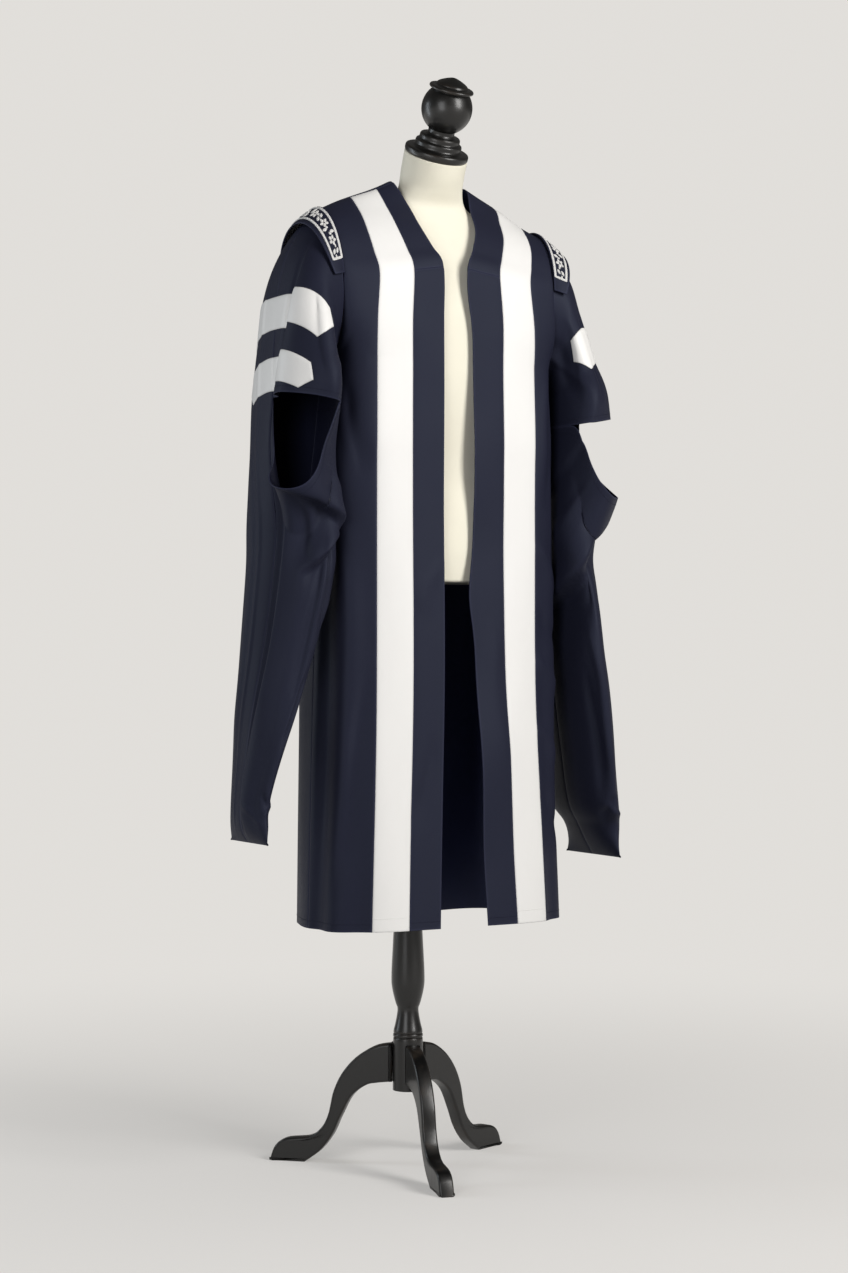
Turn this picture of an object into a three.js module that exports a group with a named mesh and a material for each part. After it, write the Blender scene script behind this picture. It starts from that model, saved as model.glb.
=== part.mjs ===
import * as THREE from "three";

// Graduation gown on a tripod dress form. Millimetres, +Z up, front toward -Y.
// The wearer's right is -X. Sizes are for one side and are mirrored for the other.

const WALL = 2;
const SEAM = 0.3;
const ARMHOLE_GAP = 1;
const HEM_Z = 402;
const FLOOR_Z = -8;
const LINE_STEPS = 160;

const SLIT_Z = { right: 1221, left: 1208 };
const SLIT_SAG = { right: 129, left: 118 };
const SLIT_TIP = { right: 33, left: 46 };
const SLIT_SPAN = { right: 80, left: 88 };
const LIP_FLARE = 34;
const LIP_FADE = 75;
const CREASE = 25;
const CREASE_SPAN = 60;
const CREASE_FLARE = { right: 18, left: 26 };

const BAR_RAISE = 0.8;
const BAR_THICK = 1.2;
// Bars: first and last row, how far each edge leans by its ends, and the angles of the three corners.
const BARS = {
  right: {
    upper: { from: 1.98, to: 2.73, fromLean: -0.14, toLean: 0.52, ends: [91, 98, 63], mid: 0.33 },
    lower: { from: 3.38, to: 4.07, fromLean: 0.3, toLean: 0.25, ends: [52, 54, 39], mid: 0.53 },
  },
  left: {
    upper: { from: 2.36, to: 3.17, fromLean: -0.47, toLean: 0, ends: [107, 113, 80], mid: 0.53 },
    lower: { from: 3.72, to: 4.28, fromLean: 0, toLean: 0, ends: [40, 44, 32], mid: 0.53 },
  },
};
const BAR_BUNCH = 0.8;

const WING_SWEEP = 82;
const WING_MID = 47;
const WING_END = 21;
const WING_LIFT = 3.5;
const WING_DROOP = 0.72;
const WING_DROOP_TURN = 0.2;
const WING_COLUMNS = 17;
const BRAID_SWEEP = 72;
const BRAID_STATIONS = 25;
const BRAID_FROM = 0.05;
const BRAID_TO = 0.82;
const BRAID_SHARE = 0.09;
const BRAID_END = 3;
const BRAID_RAISE = 0.4;
const BRAID_THICK = 1.2;

const CAP_CENTRE = [0, -93, 1641];
const CAP_TILT = 27;

const LEG_THICK = 24;
const LEG_STEPS = 20;
const LEG_TURNS = { left: -134, front: -14.5, back: 110 };

const NAVY = { color: 0x28283a, roughness: 0.85, metalness: 0 };
const SATIN = { color: 0xf5f3f0, roughness: 0.5, metalness: 0 };
const BRAID = { color: 0xf2f0ec, roughness: 0.65, metalness: 0 };
const JERSEY = { color: 0xf6efdc, roughness: 0.9, metalness: 0 };
const WOOD = { color: 0x17150f, roughness: 0.35, metalness: 0 };

const RAD = Math.PI / 180;

function table(names, rows) {
  return rows.map((row) => Object.fromEntries(names.map((name, k) => [name, row[k]])));
}

// Sleeve rings: centre, tilt of the ring, half size out and fore, turn about Z, bow of the front.
const SLEEVE_NAMES = ["x", "y", "z", "tilt", "out", "fore", "turn", "bow"];
const ARMHOLE = [199, -68, 1408, 87, 118, 80, 0, 0];
const ELBOW = [
  [257, -86, 1090, 0, 41, 92, 17, 0],
  [258, -88, 1030, 0, 40, 88, 25, 0],
];
const SLEEVE_RIGHT = [
  ARMHOLE,
  [227.5, -71, 1374.5, 73, 94.6, 92, 0, 18],
  [240, -75, 1334, 60, 74, 102, 0, 25],
  [246.5, -83, 1290, 43, 55.5, 114, 0, 12],
  [250, -88, 1246, 16, 44, 122, 2, 0],
  [255, -84, 1160, 4, 43, 100, 8, 0],
  ...ELBOW,
  [266, -92, 966, 0, 38, 82, 25, 0],
  [282, -88, 856, 0, 34, 71, 25, 0],
  [296, -85, 778, 0, 30, 65, 20, 0],
  [309, -76, 693, 0, 22, 70, 5, 0],
  [324, -76, 607, 0, 18, 58, 0, 0],
  [327, -78, 565, 0, 14, 60, 0, 0],
  [327, -78, 542, 0, 2.15, 64, 0, 0],
];
const SLEEVE_LEFT = [
  ARMHOLE,
  [222.5, -70, 1374.5, 73, 92, 84, 0, 18],
  [232, -72, 1334, 60, 64, 84, 0, 25],
  [238.5, -78, 1290, 43, 47.5, 92, 0, 12],
  [244, -84, 1246, 16, 41, 110, 2, 0],
  [243, -84, 1160, 4, 35, 98, 8, 0],
  ...ELBOW,
  [253, -86, 966, 0, 36, 100, 10, 0],
  [256, -84, 856, 0, 34, 108, 4, 0],
  [264, -84, 778, 0, 34, 108, 0, 0],
  [277, -82, 690, 0, 34, 104, 0, 0],
  [292, -80, 590, 0, 32, 93, 0, 0],
  [308, -80, 549, 0, 28, 72, 0, 0],
  [312, -80, 520, 0, 16, 72, 0, 0],
  [312, -80, 497, 0, 2.15, 80, 0, 0],
];
const SLEEVES = {
  right: table(SLEEVE_NAMES, SLEEVE_RIGHT),
  left: table(SLEEVE_NAMES, SLEEVE_LEFT),
};
const SIGN = { right: -1, left: 1 };
const UPPER_STEPS = [0, 0.4, 0.9, 1.4, 1.98, 2.355, 2.73, 3.05, 3.36, 3.7, 4.04];
const TOP_ANGLES = [0, 12, 25, 40, 58, 72, 86, 102, 118, 138, 159, 180];
const LOW_ANGLES = [0, 4, 10, 20, 33, 45, 58, 72, 90, 113, 135, 157, 180];
const BACK_ANGLES = [180, 205, 230, 250, 262, 274, 288, 302, 320, 340, 360];
const BAR_ANGLES = [-98, -86, -72, -58, -40, -20, 0, 12, 25, 40, 58, 72, 86, 102];
const LOW_ROWS = 16;

// Half body rows from the front hem over the shoulder seam to the back hem. A row runs from the
// front edge or centre back out to the side seam, or to the armhole at an angle from its top.
const BODY_NAMES = ["xIn", "yIn", "zIn", "armhole", "xOut", "yOut", "square", "facing", "stripe"];
const BODY_ROWS = table(BODY_NAMES, [
  [42, -180, HEM_Z, null, 218, -64, 2.9, 56, 62],
  [28, -165, 760, null, 213, -70, 3.2, 56, 62],
  [26, -161, 1085, null, 204, -72, 3.7, 56, 62],
  [26, -161, 1180, null, 200, -72, 4.3, 56, 62],
  [25, -160, 1280, 178, 0, 0, 4.3, 56, 62],
  [25, -160, 1310, 150, 0, 0, 3.6, 56, 62],
  [25, -160, 1360, 115, 0, 0, 3.0, 56, 62],
  [24, -157, 1447, 85, 0, 0, 2.5, 54, 62],
  [38, -145, 1480, 68, 0, 0, 2.5, 46, 60],
  [52, -128, 1515, 50, 0, 0, 2.5, 40, 56],
  [58, -103, 1549, 28, 0, 0, 2.5, 38, 53],
  [68, -70, 1591, 0, 0, 0, 2.5, 34, 52],
  [60, -32, 1590, -28, 0, 0, 2.5, 34, 52],
  [35, -6, 1586, -50, 0, 0, 2.5, 34, 52],
  [0, 4, 1580, -68, 0, 0, 2.5, 34, 52],
  [0, 20, 1510, -85, 0, 0, 2.5, 40, 56],
  [0, 40, 1400, -115, 0, 0, 3.0, 56, 62],
  [0, 48, 1330, -150, 0, 0, 3.6, 56, 62],
  [0, 52, 1285, -178, 0, 0, 4.3, 56, 62],
  [0, 54, 1180, null, 200, -72, 4.3, 56, 62],
  [0, 52, 1085, null, 204, -72, 3.7, 56, 62],
  [0, 58, 760, null, 213, -70, 3.6, 56, 62],
  [0, 70, HEM_Z, null, 218, -64, 3.6, 56, 62],
]);
const ARMPIT_FRONT = 4;
const CHEST_SEAM = 7;
const SHOULDER = 11;
const NECK_BACK = 14;
const YOKE_ROW = 15;
const ARMPIT_BACK = 18;
const FRONT_STEPS = [4, 3, 1, 1, 1, 1, 2, 1, 1, 1, 2];
const BACK_STEPS = [2, 1, 1, 1, 1, 3, 4];
const FRONT_COLUMNS = 9;
const BACK_COLUMNS = 13;
const NECK_COLUMNS = 5;
const YOKE_ROWS = 6;
const FRONT_FLUTE = -5;
const BACK_FLUTE = 11;
const FLUTE_TOP = 1150;

// Form sections: centre, half width, half depth, squareness, forward tilt.
const TORSO_NAMES = ["y", "z", "wide", "deep", "square", "tilt"];
const TORSO_ROWS = table(TORSO_NAMES, [
  [-62, 948, 150, 80, 2.3, 0],
  [-61, 1000, 158, 86, 2.3, 0],
  [-60, 1060, 150, 86, 2.3, 0],
  [-61, 1130, 130, 78, 2.3, 0],
  [-60, 1200, 138, 82, 2.3, 0],
  [-62, 1290, 152, 87, 2.4, 0],
  [-63, 1370, 160, 86, 2.5, 0],
  [-63, 1430, 163, 78, 2.5, 0],
  [-62, 1480, 164, 65, 2.4, 0],
  [-62, 1512, 150, 53, 2.3, 0],
  [-63, 1536, 108, 43, 2.2, 0],
  [-66, 1556, 68, 38, 2.1, 3],
  [-72, 1580, 55, 44, 2.0, 10],
  [-80, 1608, 52, 50, 2.0, 20],
  [-90.5, 1634.5, 52, 51, 2.0, 27],
]);

const TORSO_RINGS = 29;
const TORSO_SIDES = 24;
const TURNED_SIDES = 28;

// Turned profiles: radius and height.
const POLE_PROFILE = [
  [0, 118],
  [25, 118],
  [25, 203],
  [22.5, 204.5],
  [24.5, 206],
  [24.5, 210],
  [22.5, 211.5],
  [24.5, 213],
  [20.5, 228],
  [17.6, 244],
  [17, 253],
  [19.5, 258],
  [24, 274],
  [27, 290],
  [27.4, 299],
  [27, 318],
  [25, 355],
  [23.5, 385],
  [20, 440],
  [16, 500],
  [16, 947.7],
  [0, 947.7],
];
const CAP_PROFILE = [
  [0, -6],
  [50, -6],
  [52, -3],
  [52, 4],
  [49, 6],
  [38, 7],
  [38, 16],
  [36, 18],
  [33, 19],
  [33, 26],
  [31, 28],
  [0, 28],
];
const BALL_AT = 72;
const BALL_RADIUS = 41;
const BALL_FOOT = -58;
const BALL_HEAD = 43;
const FINIAL_FOOT = [
  [0, 28.3],
  [24, 28.3],
  [21.5, 31],
  [21.5, 36],
];
const FINIAL_TIP = [
  [30, 100.5],
  [36, 102],
  [36, 106],
  [33, 107.5],
  [26, 108],
  [25, 112],
  [16, 117],
  [6, 121],
  [0, 122],
];

// Leg board: distance from the pole axis and height, along the top and back along the underside.
const LEG_TOP = [
  [25.3, 202],
  [55, 196],
  [86, 177],
  [110, 150],
  [125, 119],
  [134, 81],
  [146, 58],
  [167, 43],
  [208, 37],
  [226, 24],
  [235, 0],
];
const LEG_UNDER = [
  [175, 0],
  [148, 20],
  [127, 47],
  [113, 77],
  [94, 112],
  [70, 131],
  [51, 136],
  [25.3, 139],
];

const gown = new THREE.Group();
const form = new THREE.Group();
const head = new THREE.Group();

function add(parent, name, geometry, finish) {
  const mesh = new THREE.Mesh(geometry, new THREE.MeshStandardMaterial(finish));
  mesh.name = name;
  parent.add(mesh);
  return mesh;
}

// A closed mesh from points and triangles, turned to face out.
function closed(points, faces) {
  const position = points.flatMap((p) => [p.x, p.y, p.z]);
  let volume = 0;
  for (const [a, b, c] of faces) {
    volume += points[a].dot(new THREE.Vector3().crossVectors(points[b], points[c]));
  }
  const index = faces.flatMap(([a, b, c]) => (volume < 0 ? [a, c, b] : [a, b, c]));
  const geometry = new THREE.BufferGeometry();
  geometry.setAttribute("position", new THREE.Float32BufferAttribute(position, 3));
  geometry.setIndex(index);
  geometry.computeVertexNormals();
  return geometry;
}

// A thin wall between two grids of the same size, closed round its four edges.
function wall(name, outer, inner, finish) {
  const rows = outer.length;
  const columns = outer[0].length;
  const points = [...outer.flat(), ...inner.flat()];
  const skin = rows * columns;
  const faces = [];
  const quad = (a, b, c, d) => faces.push([a, b, c], [a, c, d]);
  for (let i = 0; i + 1 < rows; i += 1) {
    for (let j = 0; j + 1 < columns; j += 1) {
      const a = i * columns + j;
      quad(a, a + 1, a + columns + 1, a + columns);
      quad(skin + a, skin + a + columns, skin + a + columns + 1, skin + a + 1);
    }
  }
  const rim = [];
  for (let j = 0; j < columns - 1; j += 1) rim.push(j);
  for (let i = 0; i < rows - 1; i += 1) rim.push(i * columns + columns - 1);
  for (let j = columns - 1; j > 0; j -= 1) rim.push((rows - 1) * columns + j);
  for (let i = rows - 1; i > 0; i -= 1) rim.push(i * columns);
  rim.forEach((a, k) => {
    const b = rim[(k + 1) % rim.length];
    quad(a, skin + a, skin + b, b);
  });
  add(gown, name, closed(points, faces), finish);
}

// A loft through closed rings of equal length, with flat ends.
function loft(rings) {
  const size = rings[0].length;
  const points = rings.flat();
  const faces = [];
  for (let i = 0; i + 1 < rings.length; i += 1) {
    for (let j = 0; j < size; j += 1) {
      const a = i * size + j;
      const b = i * size + ((j + 1) % size);
      faces.push([a, b, b + size], [a, b + size, a + size]);
    }
  }
  const last = (rings.length - 1) * size;
  for (let j = 1; j + 1 < size; j += 1) {
    faces.push([0, j + 1, j], [last, last + j, last + j + 1]);
  }
  return closed(points, faces);
}

// A turned solid about Z whose profile starts and ends on the axis.
function turned(profile) {
  const points = profile.map(([radius, height]) => new THREE.Vector2(radius, height));
  return new THREE.LatheGeometry(points, TURNED_SIDES).rotateX(Math.PI / 2);
}

// A closed band from loops that follow one another round its section.
function band(loops) {
  const size = loops[0].length;
  const faces = [];
  loops.forEach((_, i) => {
    const next = (i + 1) % loops.length;
    for (let j = 0; j < size; j += 1) {
      const k = (j + 1) % size;
      const [a, b] = [i * size + j, i * size + k];
      const [c, d] = [next * size + k, next * size + j];
      faces.push([a, b, c], [a, c, d]);
    }
  });
  return closed(loops.flat(), faces);
}

// Smooth values between the rows of a table.
function between(rows, t) {
  const i = Math.min(Math.floor(t), rows.length - 2);
  const f = t - i;
  const at = (k) => rows[Math.min(Math.max(k, 0), rows.length - 1)];
  const [a, b, c, d] = [at(i - 1), at(i), at(i + 1), at(i + 2)];
  const result = {};
  for (const name of Object.keys(b)) {
    const slope = (c[name] - a[name]) / 2;
    const next = (d[name] - b[name]) / 2;
    const cubic = 2 * b[name] - 2 * c[name] + slope + next;
    const square = -3 * b[name] + 3 * c[name] - 2 * slope - next;
    result[name] = b[name] + f * (slope + f * (square + f * cubic));
  }
  return result;
}

// Position along the rows of a sleeve at a height below the elbow.
function rowAtHeight(rows, z) {
  let k = 4;
  while (k + 2 < rows.length && rows[k + 1].z > z) k += 1;
  return k + (rows[k].z - z) / (rows[k].z - rows[k + 1].z);
}

function hump(angle, peak, before, after) {
  const far = angle < peak ? (peak - angle) / before : (angle - peak) / after;
  return far >= 1 ? 0 : Math.cos((Math.PI / 2) * far) ** 2;
}

// How far the lower edge of the slit sags, from 0 to 1, round the front of the sleeve.
function sag(side, angle) {
  const tip = SLIT_TIP[side];
  if (angle < tip) return 1 - ((tip - angle) / tip) ** 4;
  return hump(angle, tip, tip, SLIT_SPAN[side]);
}

// A point of a sleeve ring. Angle 0 is the outer crease, 90 the front, 180 the body side.
function ringPoint(side, t, angle, inset, flare) {
  const row = between(SLEEVES[side], t);
  const cos = Math.cos(angle * RAD);
  const sin = Math.sin(angle * RAD);
  const tilt = row.tilt * RAD;
  const turn = row.turn * RAD;
  const out = (row.out - inset) * cos + flare * cos;
  const fore = (row.fore - inset) * sin + flare * sin;
  const x = row.x + out * Math.cos(tilt) * Math.cos(turn) - fore * Math.sin(turn);
  const y = row.y - out * Math.sin(turn) - fore * Math.cos(turn);
  const z = row.z + out * Math.sin(tilt) + row.bow * sin * sin;
  return new THREE.Vector3(SIGN[side] * x, y, z);
}

// The upper sleeve, whose front edge at the slit stands out along the pressed crease.
function upperSleeve(side, t, angle, inset) {
  const hem = rowAtHeight(SLEEVES[side], SLIT_Z[side]);
  const front = angle > 180 ? 0 : hump(angle, CREASE, CREASE, CREASE_SPAN);
  const grow = (t / hem) ** 5;
  return ringPoint(side, t, angle, inset, CREASE_FLARE[side] * front * grow);
}

// The lower front, whose lip flares to a point and falls back below it.
function lowerSleeve(side, t, angle, inset) {
  const rows = SLEEVES[side];
  const lip = lipRow(side, angle);
  const below = between(rows, lip).z - between(rows, t).z;
  const hang = sag(side, angle);
  const swell = angle < SLIT_TIP[side] ? hang ** 3 : hang;
  const fade = Math.max(0, 1 - below / LIP_FADE);
  return ringPoint(side, t, angle, inset, LIP_FLARE * swell * fade);
}

function lipRow(side, angle) {
  return rowAtHeight(SLEEVES[side], SLIT_Z[side] - SEAM - SLIT_SAG[side] * sag(side, angle));
}

function normalOf(surface, t, angle) {
  const along = surface(t + 0.01, angle).sub(surface(t - 0.01, angle));
  const round = surface(t, angle + 0.5).sub(surface(t, angle - 0.5));
  return along.cross(round).normalize();
}

function sample(ts, angles, point) {
  return ts.map((t) => angles.map((angle) => point(t, angle)));
}

// Draws the first or last row or column of both skins back from a seam.
function trim(grids, edge, gap) {
  for (const grid of grids) {
    const rows = grid.length;
    const columns = grid[0].length;
    const pull = (a, b) => a.add(b.clone().sub(a).setLength(gap));
    for (let j = 0; j < columns; j += 1) {
      if (edge === "start") pull(grid[0][j], grid[1][j]);
      if (edge === "end") pull(grid[rows - 1][j], grid[rows - 2][j]);
    }
    for (let i = 0; i < rows; i += 1) {
      if (edge === "near") pull(grid[i][0], grid[i][1]);
      if (edge === "far") pull(grid[i][columns - 1], grid[i][columns - 2]);
    }
  }
}

// Body rows with their outer ends resolved.
const bodyRows = BODY_ROWS.map((row) => {
  if (row.armhole === null) return { ...row, armhole: 0, zOut: row.zIn };
  const end = ringPoint("left", 0, row.armhole, 0, 0);
  return { ...row, xOut: end.x, yOut: end.y, zOut: end.z };
});

// One row of the half body as a fine line, with the length along it.
function bodyLine(t) {
  const row = between(bodyRows, t);
  const line = [];
  let length = 0;
  for (let k = 0; k <= LINE_STEPS; k += 1) {
    const turn = (Math.PI / 2) * (k / LINE_STEPS);
    const f = Math.sin(turn) ** (2 / row.square);
    const g = Math.max(Math.cos(turn), 0) ** (2 / row.square);
    const x = row.xIn + (row.xOut - row.xIn) * f;
    const y = row.yOut + (row.yIn - row.yOut) * g;
    const z = row.zIn + (row.zOut - row.zIn) * f;
    const point = new THREE.Vector3(x, y, z);
    if (k > 0) length += point.distanceTo(line[k - 1].point);
    line.push({ point, length });
  }
  return { row, line, length };
}

// The half body at a row and a share of that row's length.
function bodyPoint(t, share) {
  const { line, length } = bodyLine(t);
  const along = share * length;
  let k = 1;
  while (k + 1 < line.length && line[k].length < along) k += 1;
  const [a, b] = [line[k - 1], line[k]];
  const f = (along - a.length) / (b.length - a.length);
  return a.point.clone().lerp(b.point, Math.min(Math.max(f, 0), 1));
}

function bodyNormal(t, share) {
  const side = t <= ARMPIT_FRONT - 1 || t >= ARMPIT_BACK + 1;
  if (share === 1 && side) return new THREE.Vector3(1, 0, 0);
  const last = bodyRows.length - 1;
  const up = bodyPoint(Math.min(t + 0.04, last), share).sub(bodyPoint(Math.max(t - 0.04, 0), share));
  const out = bodyPoint(t, Math.min(share + 0.01, 1)).sub(bodyPoint(t, Math.max(share - 0.01, 0)));
  const normal = out.cross(up).normalize();
  if (share === 0 && t >= NECK_BACK) normal.setX(0).normalize();
  return normal;
}

// Both skins of the half body over a grid of rows and shares, with its soft vertical folds.
function bodySkins(cells, fold) {
  const skins = [[], []];
  for (const cellRow of cells) {
    const lines = [[], []];
    for (const [t, share] of cellRow) {
      const point = bodyPoint(t, share);
      const normal = bodyNormal(t, share);
      const fall = Math.max(FLUTE_TOP - point.z, 0) / (FLUTE_TOP - HEM_Z);
      const push = fall * fold(share);
      lines[0].push(point.clone().addScaledVector(normal, push));
      lines[1].push(point.clone().addScaledVector(normal, push - WALL));
    }
    skins[0].push(lines[0]);
    skins[1].push(lines[1]);
  }
  return skins;
}

function spread(from, to, count) {
  return Array.from({ length: count }, (_, k) => from + ((to - from) * k) / (count - 1));
}

function mirror(skins, side) {
  return skins.map((skin) =>
    skin.map((line) => line.map((p) => new THREE.Vector3(SIGN[side] * p.x, p.y, p.z))),
  );
}

const frontSteps = [0];
FRONT_STEPS.forEach((steps, i) => {
  for (let k = 1; k <= steps; k += 1) frontSteps.push(i + k / steps);
});

// A front piece between two rows, from one width to another, in both hands.
function frontPiece(name, rows, widths, edges, finish) {
  const steps = frontSteps.filter((t) => t >= rows[0] && t <= rows[1]);
  const cells = steps.map((t) => {
    const { row, length } = bodyLine(t);
    return widths(row, length).map((along) => [t, along / length]);
  });
  const start = (row, length) => (row.facing + row.stripe) / length;
  const first = start(bodyRows[1], bodyLine(1).length);
  const fold = (share) => {
    const across = Math.max(share - first, 0) / (1 - first);
    return FRONT_FLUTE * Math.sin(3 * Math.PI * across);
  };
  const skins = bodySkins(cells, fold);
  edges.forEach((edge) => trim(skins, edge, SEAM / 2));
  wall(`${name}_right`, ...mirror(skins, "right"), finish);
  wall(`${name}_left`, ...mirror(skins, "left"), finish);
}

const facingWidths = (row) => spread(0, row.facing, 3);
const stripeWidths = (row) => spread(row.facing, row.facing + row.stripe, 3);
const frontWidths = (row, length) => spread(row.facing + row.stripe, length, FRONT_COLUMNS);
frontPiece("facing", [0, CHEST_SEAM], facingWidths, ["end", "far"], NAVY);
frontPiece("collar", [CHEST_SEAM, SHOULDER], facingWidths, ["start", "end", "far"], NAVY);
frontPiece("stripe", [0, SHOULDER], stripeWidths, ["near", "far", "end"], SATIN);
frontPiece("front", [0, SHOULDER], frontWidths, ["near", "far", "end"], NAVY);

// The back starts along the neck edge and the shoulder seam and joins both halves at the centre.
const backStarts = [
  ...spread(NECK_BACK, SHOULDER, NECK_COLUMNS).map((t) => [t, 0]),
  ...spread(0, 1, BACK_COLUMNS - NECK_COLUMNS + 1).slice(1).map((share) => [SHOULDER, share]),
];
const backShares = spread(0, 1, BACK_COLUMNS);
const backCells = [];
for (const f of spread(0, 1, YOKE_ROWS)) {
  backCells.push(
    backStarts.map(([t, share], j) => [
      t + (YOKE_ROW - t) * f,
      share + (backShares[j] - share) * f,
    ]),
  );
}
BACK_STEPS.forEach((steps, i) => {
  for (let k = 1; k <= steps; k += 1) {
    backCells.push(backShares.map((share) => [YOKE_ROW + i + k / steps, share]));
  }
});
const backFold = (share) => (-BACK_FLUTE * (1 - Math.cos(4 * Math.PI * share))) / 2;
const backHalf = bodySkins(backCells, backFold);
trim(backHalf, "far", SEAM / 2);
for (const skin of backHalf) {
  for (let j = NECK_COLUMNS - 1; j < BACK_COLUMNS; j += 1) {
    skin[0][j].add(skin[1][j].clone().sub(skin[0][j]).setLength(SEAM / 2));
  }
}
const backSkins = backHalf.map((skin) =>
  skin.map((line) => {
    const other = line.slice(1).map((point) => point.clone().setX(-point.x));
    return [...other.reverse(), ...line];
  }),
);
wall("back", ...backSkins, NAVY);

// Sleeves.
for (const side of ["right", "left"]) {
  const rows = SLEEVES[side];
  const hem = rowAtHeight(rows, SLIT_Z[side]);
  const end = rows.length - 1;
  const topRows = [...UPPER_STEPS, hem];
  const top = [0, WALL].map((inset) =>
    sample(topRows, TOP_ANGLES, (t, angle) => upperSleeve(side, t, angle, inset)),
  );
  trim(top, "start", ARMHOLE_GAP);
  trim(top, "near", SEAM / 2);
  trim(top, "far", SEAM / 2);
  wall(`sleeve_top_${side}`, ...top, NAVY);

  const falls = spread(0, 1, LOW_ROWS);
  const low = [0, WALL].map((inset) =>
    sample(falls, LOW_ANGLES, (fall, angle) => {
      const lip = lipRow(side, angle);
      return lowerSleeve(side, lip + (end - lip) * fall, angle, inset);
    }),
  );
  trim(low, "near", SEAM / 2);
  trim(low, "far", SEAM / 2);
  wall(`sleeve_low_${side}`, ...low, NAVY);

  const backs = { top: topRows, low: spread(hem, end, LOW_ROWS) };
  for (const [part, ts] of Object.entries(backs)) {
    const back = [0, WALL].map((inset) =>
      sample(ts, BACK_ANGLES, (t, angle) => ringPoint(side, t, angle, inset, 0)),
    );
    if (part === "top") trim(back, "start", ARMHOLE_GAP);
    trim(back, part === "top" ? "end" : "start", SEAM / 2);
    trim(back, "near", SEAM / 2);
    trim(back, "far", SEAM / 2);
    wall(`sleeve_back_${part}_${side}`, ...back, NAVY);
  }
}

// White bars round the upper sleeves. Each end has a corner at the top, a tip and a corner at the foot.
function barEnd(bar, across) {
  const [top, tip, foot] = bar.ends;
  if (across < bar.mid) return top + ((tip - top) * across) / bar.mid;
  return tip + ((foot - tip) * (across - bar.mid)) / (1 - bar.mid);
}

for (const side of ["right", "left"]) {
  const surface = (t, angle) => upperSleeve(side, t, (angle + 360) % 360, 0);
  for (const [name, bar] of Object.entries(BARS[side])) {
    const [top, tip] = bar.ends;
    const inner = BAR_ANGLES.filter((angle) => Math.abs(angle) < tip - BAR_BUNCH);
    const stations = [-tip, ...inner, tip];
    const places = [...spread(0, bar.mid, 3), ...spread(bar.mid, 1, 5).slice(1)];
    const skins = [BAR_RAISE + BAR_THICK, BAR_RAISE].map((raise) =>
      stations.map((station, k) =>
        places.map((across) => {
          const left = Math.min(k, stations.length - 1 - k);
          const most = barEnd(bar, across) - (Math.abs(station) === tip ? 0 : BAR_BUNCH * left);
          const angle = Math.sign(station) * Math.min(Math.abs(station), most);
          const lean = (angle / top) ** 2;
          const from = bar.from + bar.fromLean * lean;
          const t = from + (bar.to + bar.toLean * lean - from) * across;
          const normal = normalOf(surface, t, angle).multiplyScalar(-SIGN[side]);
          return surface(t, angle).addScaledVector(normal, raise);
        }),
      ),
    );
    wall(`bar_${name}_${side}`, ...skins, SATIN);
  }
}

// Shoulder wings along the top of each armhole.
function wingPoint(side, angle, v) {
  const cos = Math.cos(angle * RAD);
  const sin = Math.sin(angle * RAD);
  const base = ringPoint(side, 0, angle, -WING_LIFT, 0);
  const share = Math.cos((Math.PI / 2) * (angle / WING_SWEEP)) ** 0.8;
  const width = WING_END + (WING_MID - WING_END) * (Math.abs(angle) < WING_SWEEP ? share : 0);
  const fall = ringPoint(side, 0.6, angle, 0, 0).sub(ringPoint(side, 0, angle, 0, 0)).normalize();
  const along = new THREE.Vector3(SIGN[side] * 0.95, -0.3 * sin, -0.2 * cos).normalize();
  along.lerp(fall, WING_DROOP - WING_DROOP_TURN * sin).normalize();
  return base.addScaledVector(along, width * v);
}

function wingSkin(side, angle, v, raise) {
  const step = 0.02;
  const out = wingPoint(side, angle, v + step).sub(wingPoint(side, angle, v - step));
  const round = wingPoint(side, angle + 1, v).sub(wingPoint(side, angle - 1, v));
  const normal = out.cross(round).normalize().multiplyScalar(SIGN[side]);
  if (normal.z < 0) normal.negate();
  return wingPoint(side, angle, v).addScaledVector(normal, raise);
}

for (const side of ["right", "left"]) {
  const angles = spread(-WING_SWEEP, WING_SWEEP, WING_COLUMNS);
  const skins = [WALL, 0].map((raise) =>
    angles.map((angle) => spread(0, 1, 4).map((v) => wingSkin(side, angle, v, raise))),
  );
  wall(`wing_${side}`, ...skins, NAVY);

  // The braid runs along the inner side of the wing, round its end and back along the outer side.
  const loop = (sweep, inset) => {
    const stations = spread(-sweep, sweep, BRAID_STATIONS);
    return [
      ...stations.map((angle) => [angle, BRAID_FROM + inset]),
      ...stations.reverse().map((angle) => [angle, BRAID_TO - inset]),
    ];
  };
  const outside = loop(BRAID_SWEEP, 0);
  const inside = loop(BRAID_SWEEP - BRAID_END, BRAID_SHARE);
  const raises = [WALL + BRAID_RAISE, WALL + BRAID_RAISE + BRAID_THICK];
  const loops = [
    outside.map(([a, v]) => wingSkin(side, a, v, raises[0])),
    outside.map(([a, v]) => wingSkin(side, a, v, raises[1])),
    inside.map(([a, v]) => wingSkin(side, a, v, raises[1])),
    inside.map(([a, v]) => wingSkin(side, a, v, raises[0])),
  ];
  add(gown, `braid_${side}`, band(loops), BRAID);
}

// The form.
const torsoRings = spread(0, TORSO_ROWS.length - 1, TORSO_RINGS).map((t) => {
  const row = between(TORSO_ROWS, t);
  return Array.from({ length: TORSO_SIDES }, (_, k) => {
    const turn = (2 * Math.PI * k) / TORSO_SIDES;
    const power = 2 / row.square;
    const x = row.wide * Math.sign(Math.cos(turn)) * Math.abs(Math.cos(turn)) ** power;
    const fore = row.deep * Math.sign(Math.sin(turn)) * Math.abs(Math.sin(turn)) ** power;
    const tilt = row.tilt * RAD;
    return new THREE.Vector3(x, row.y - fore * Math.cos(tilt), row.z - fore * Math.sin(tilt));
  });
});
add(form, "torso", loft(torsoRings), JERSEY);

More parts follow.
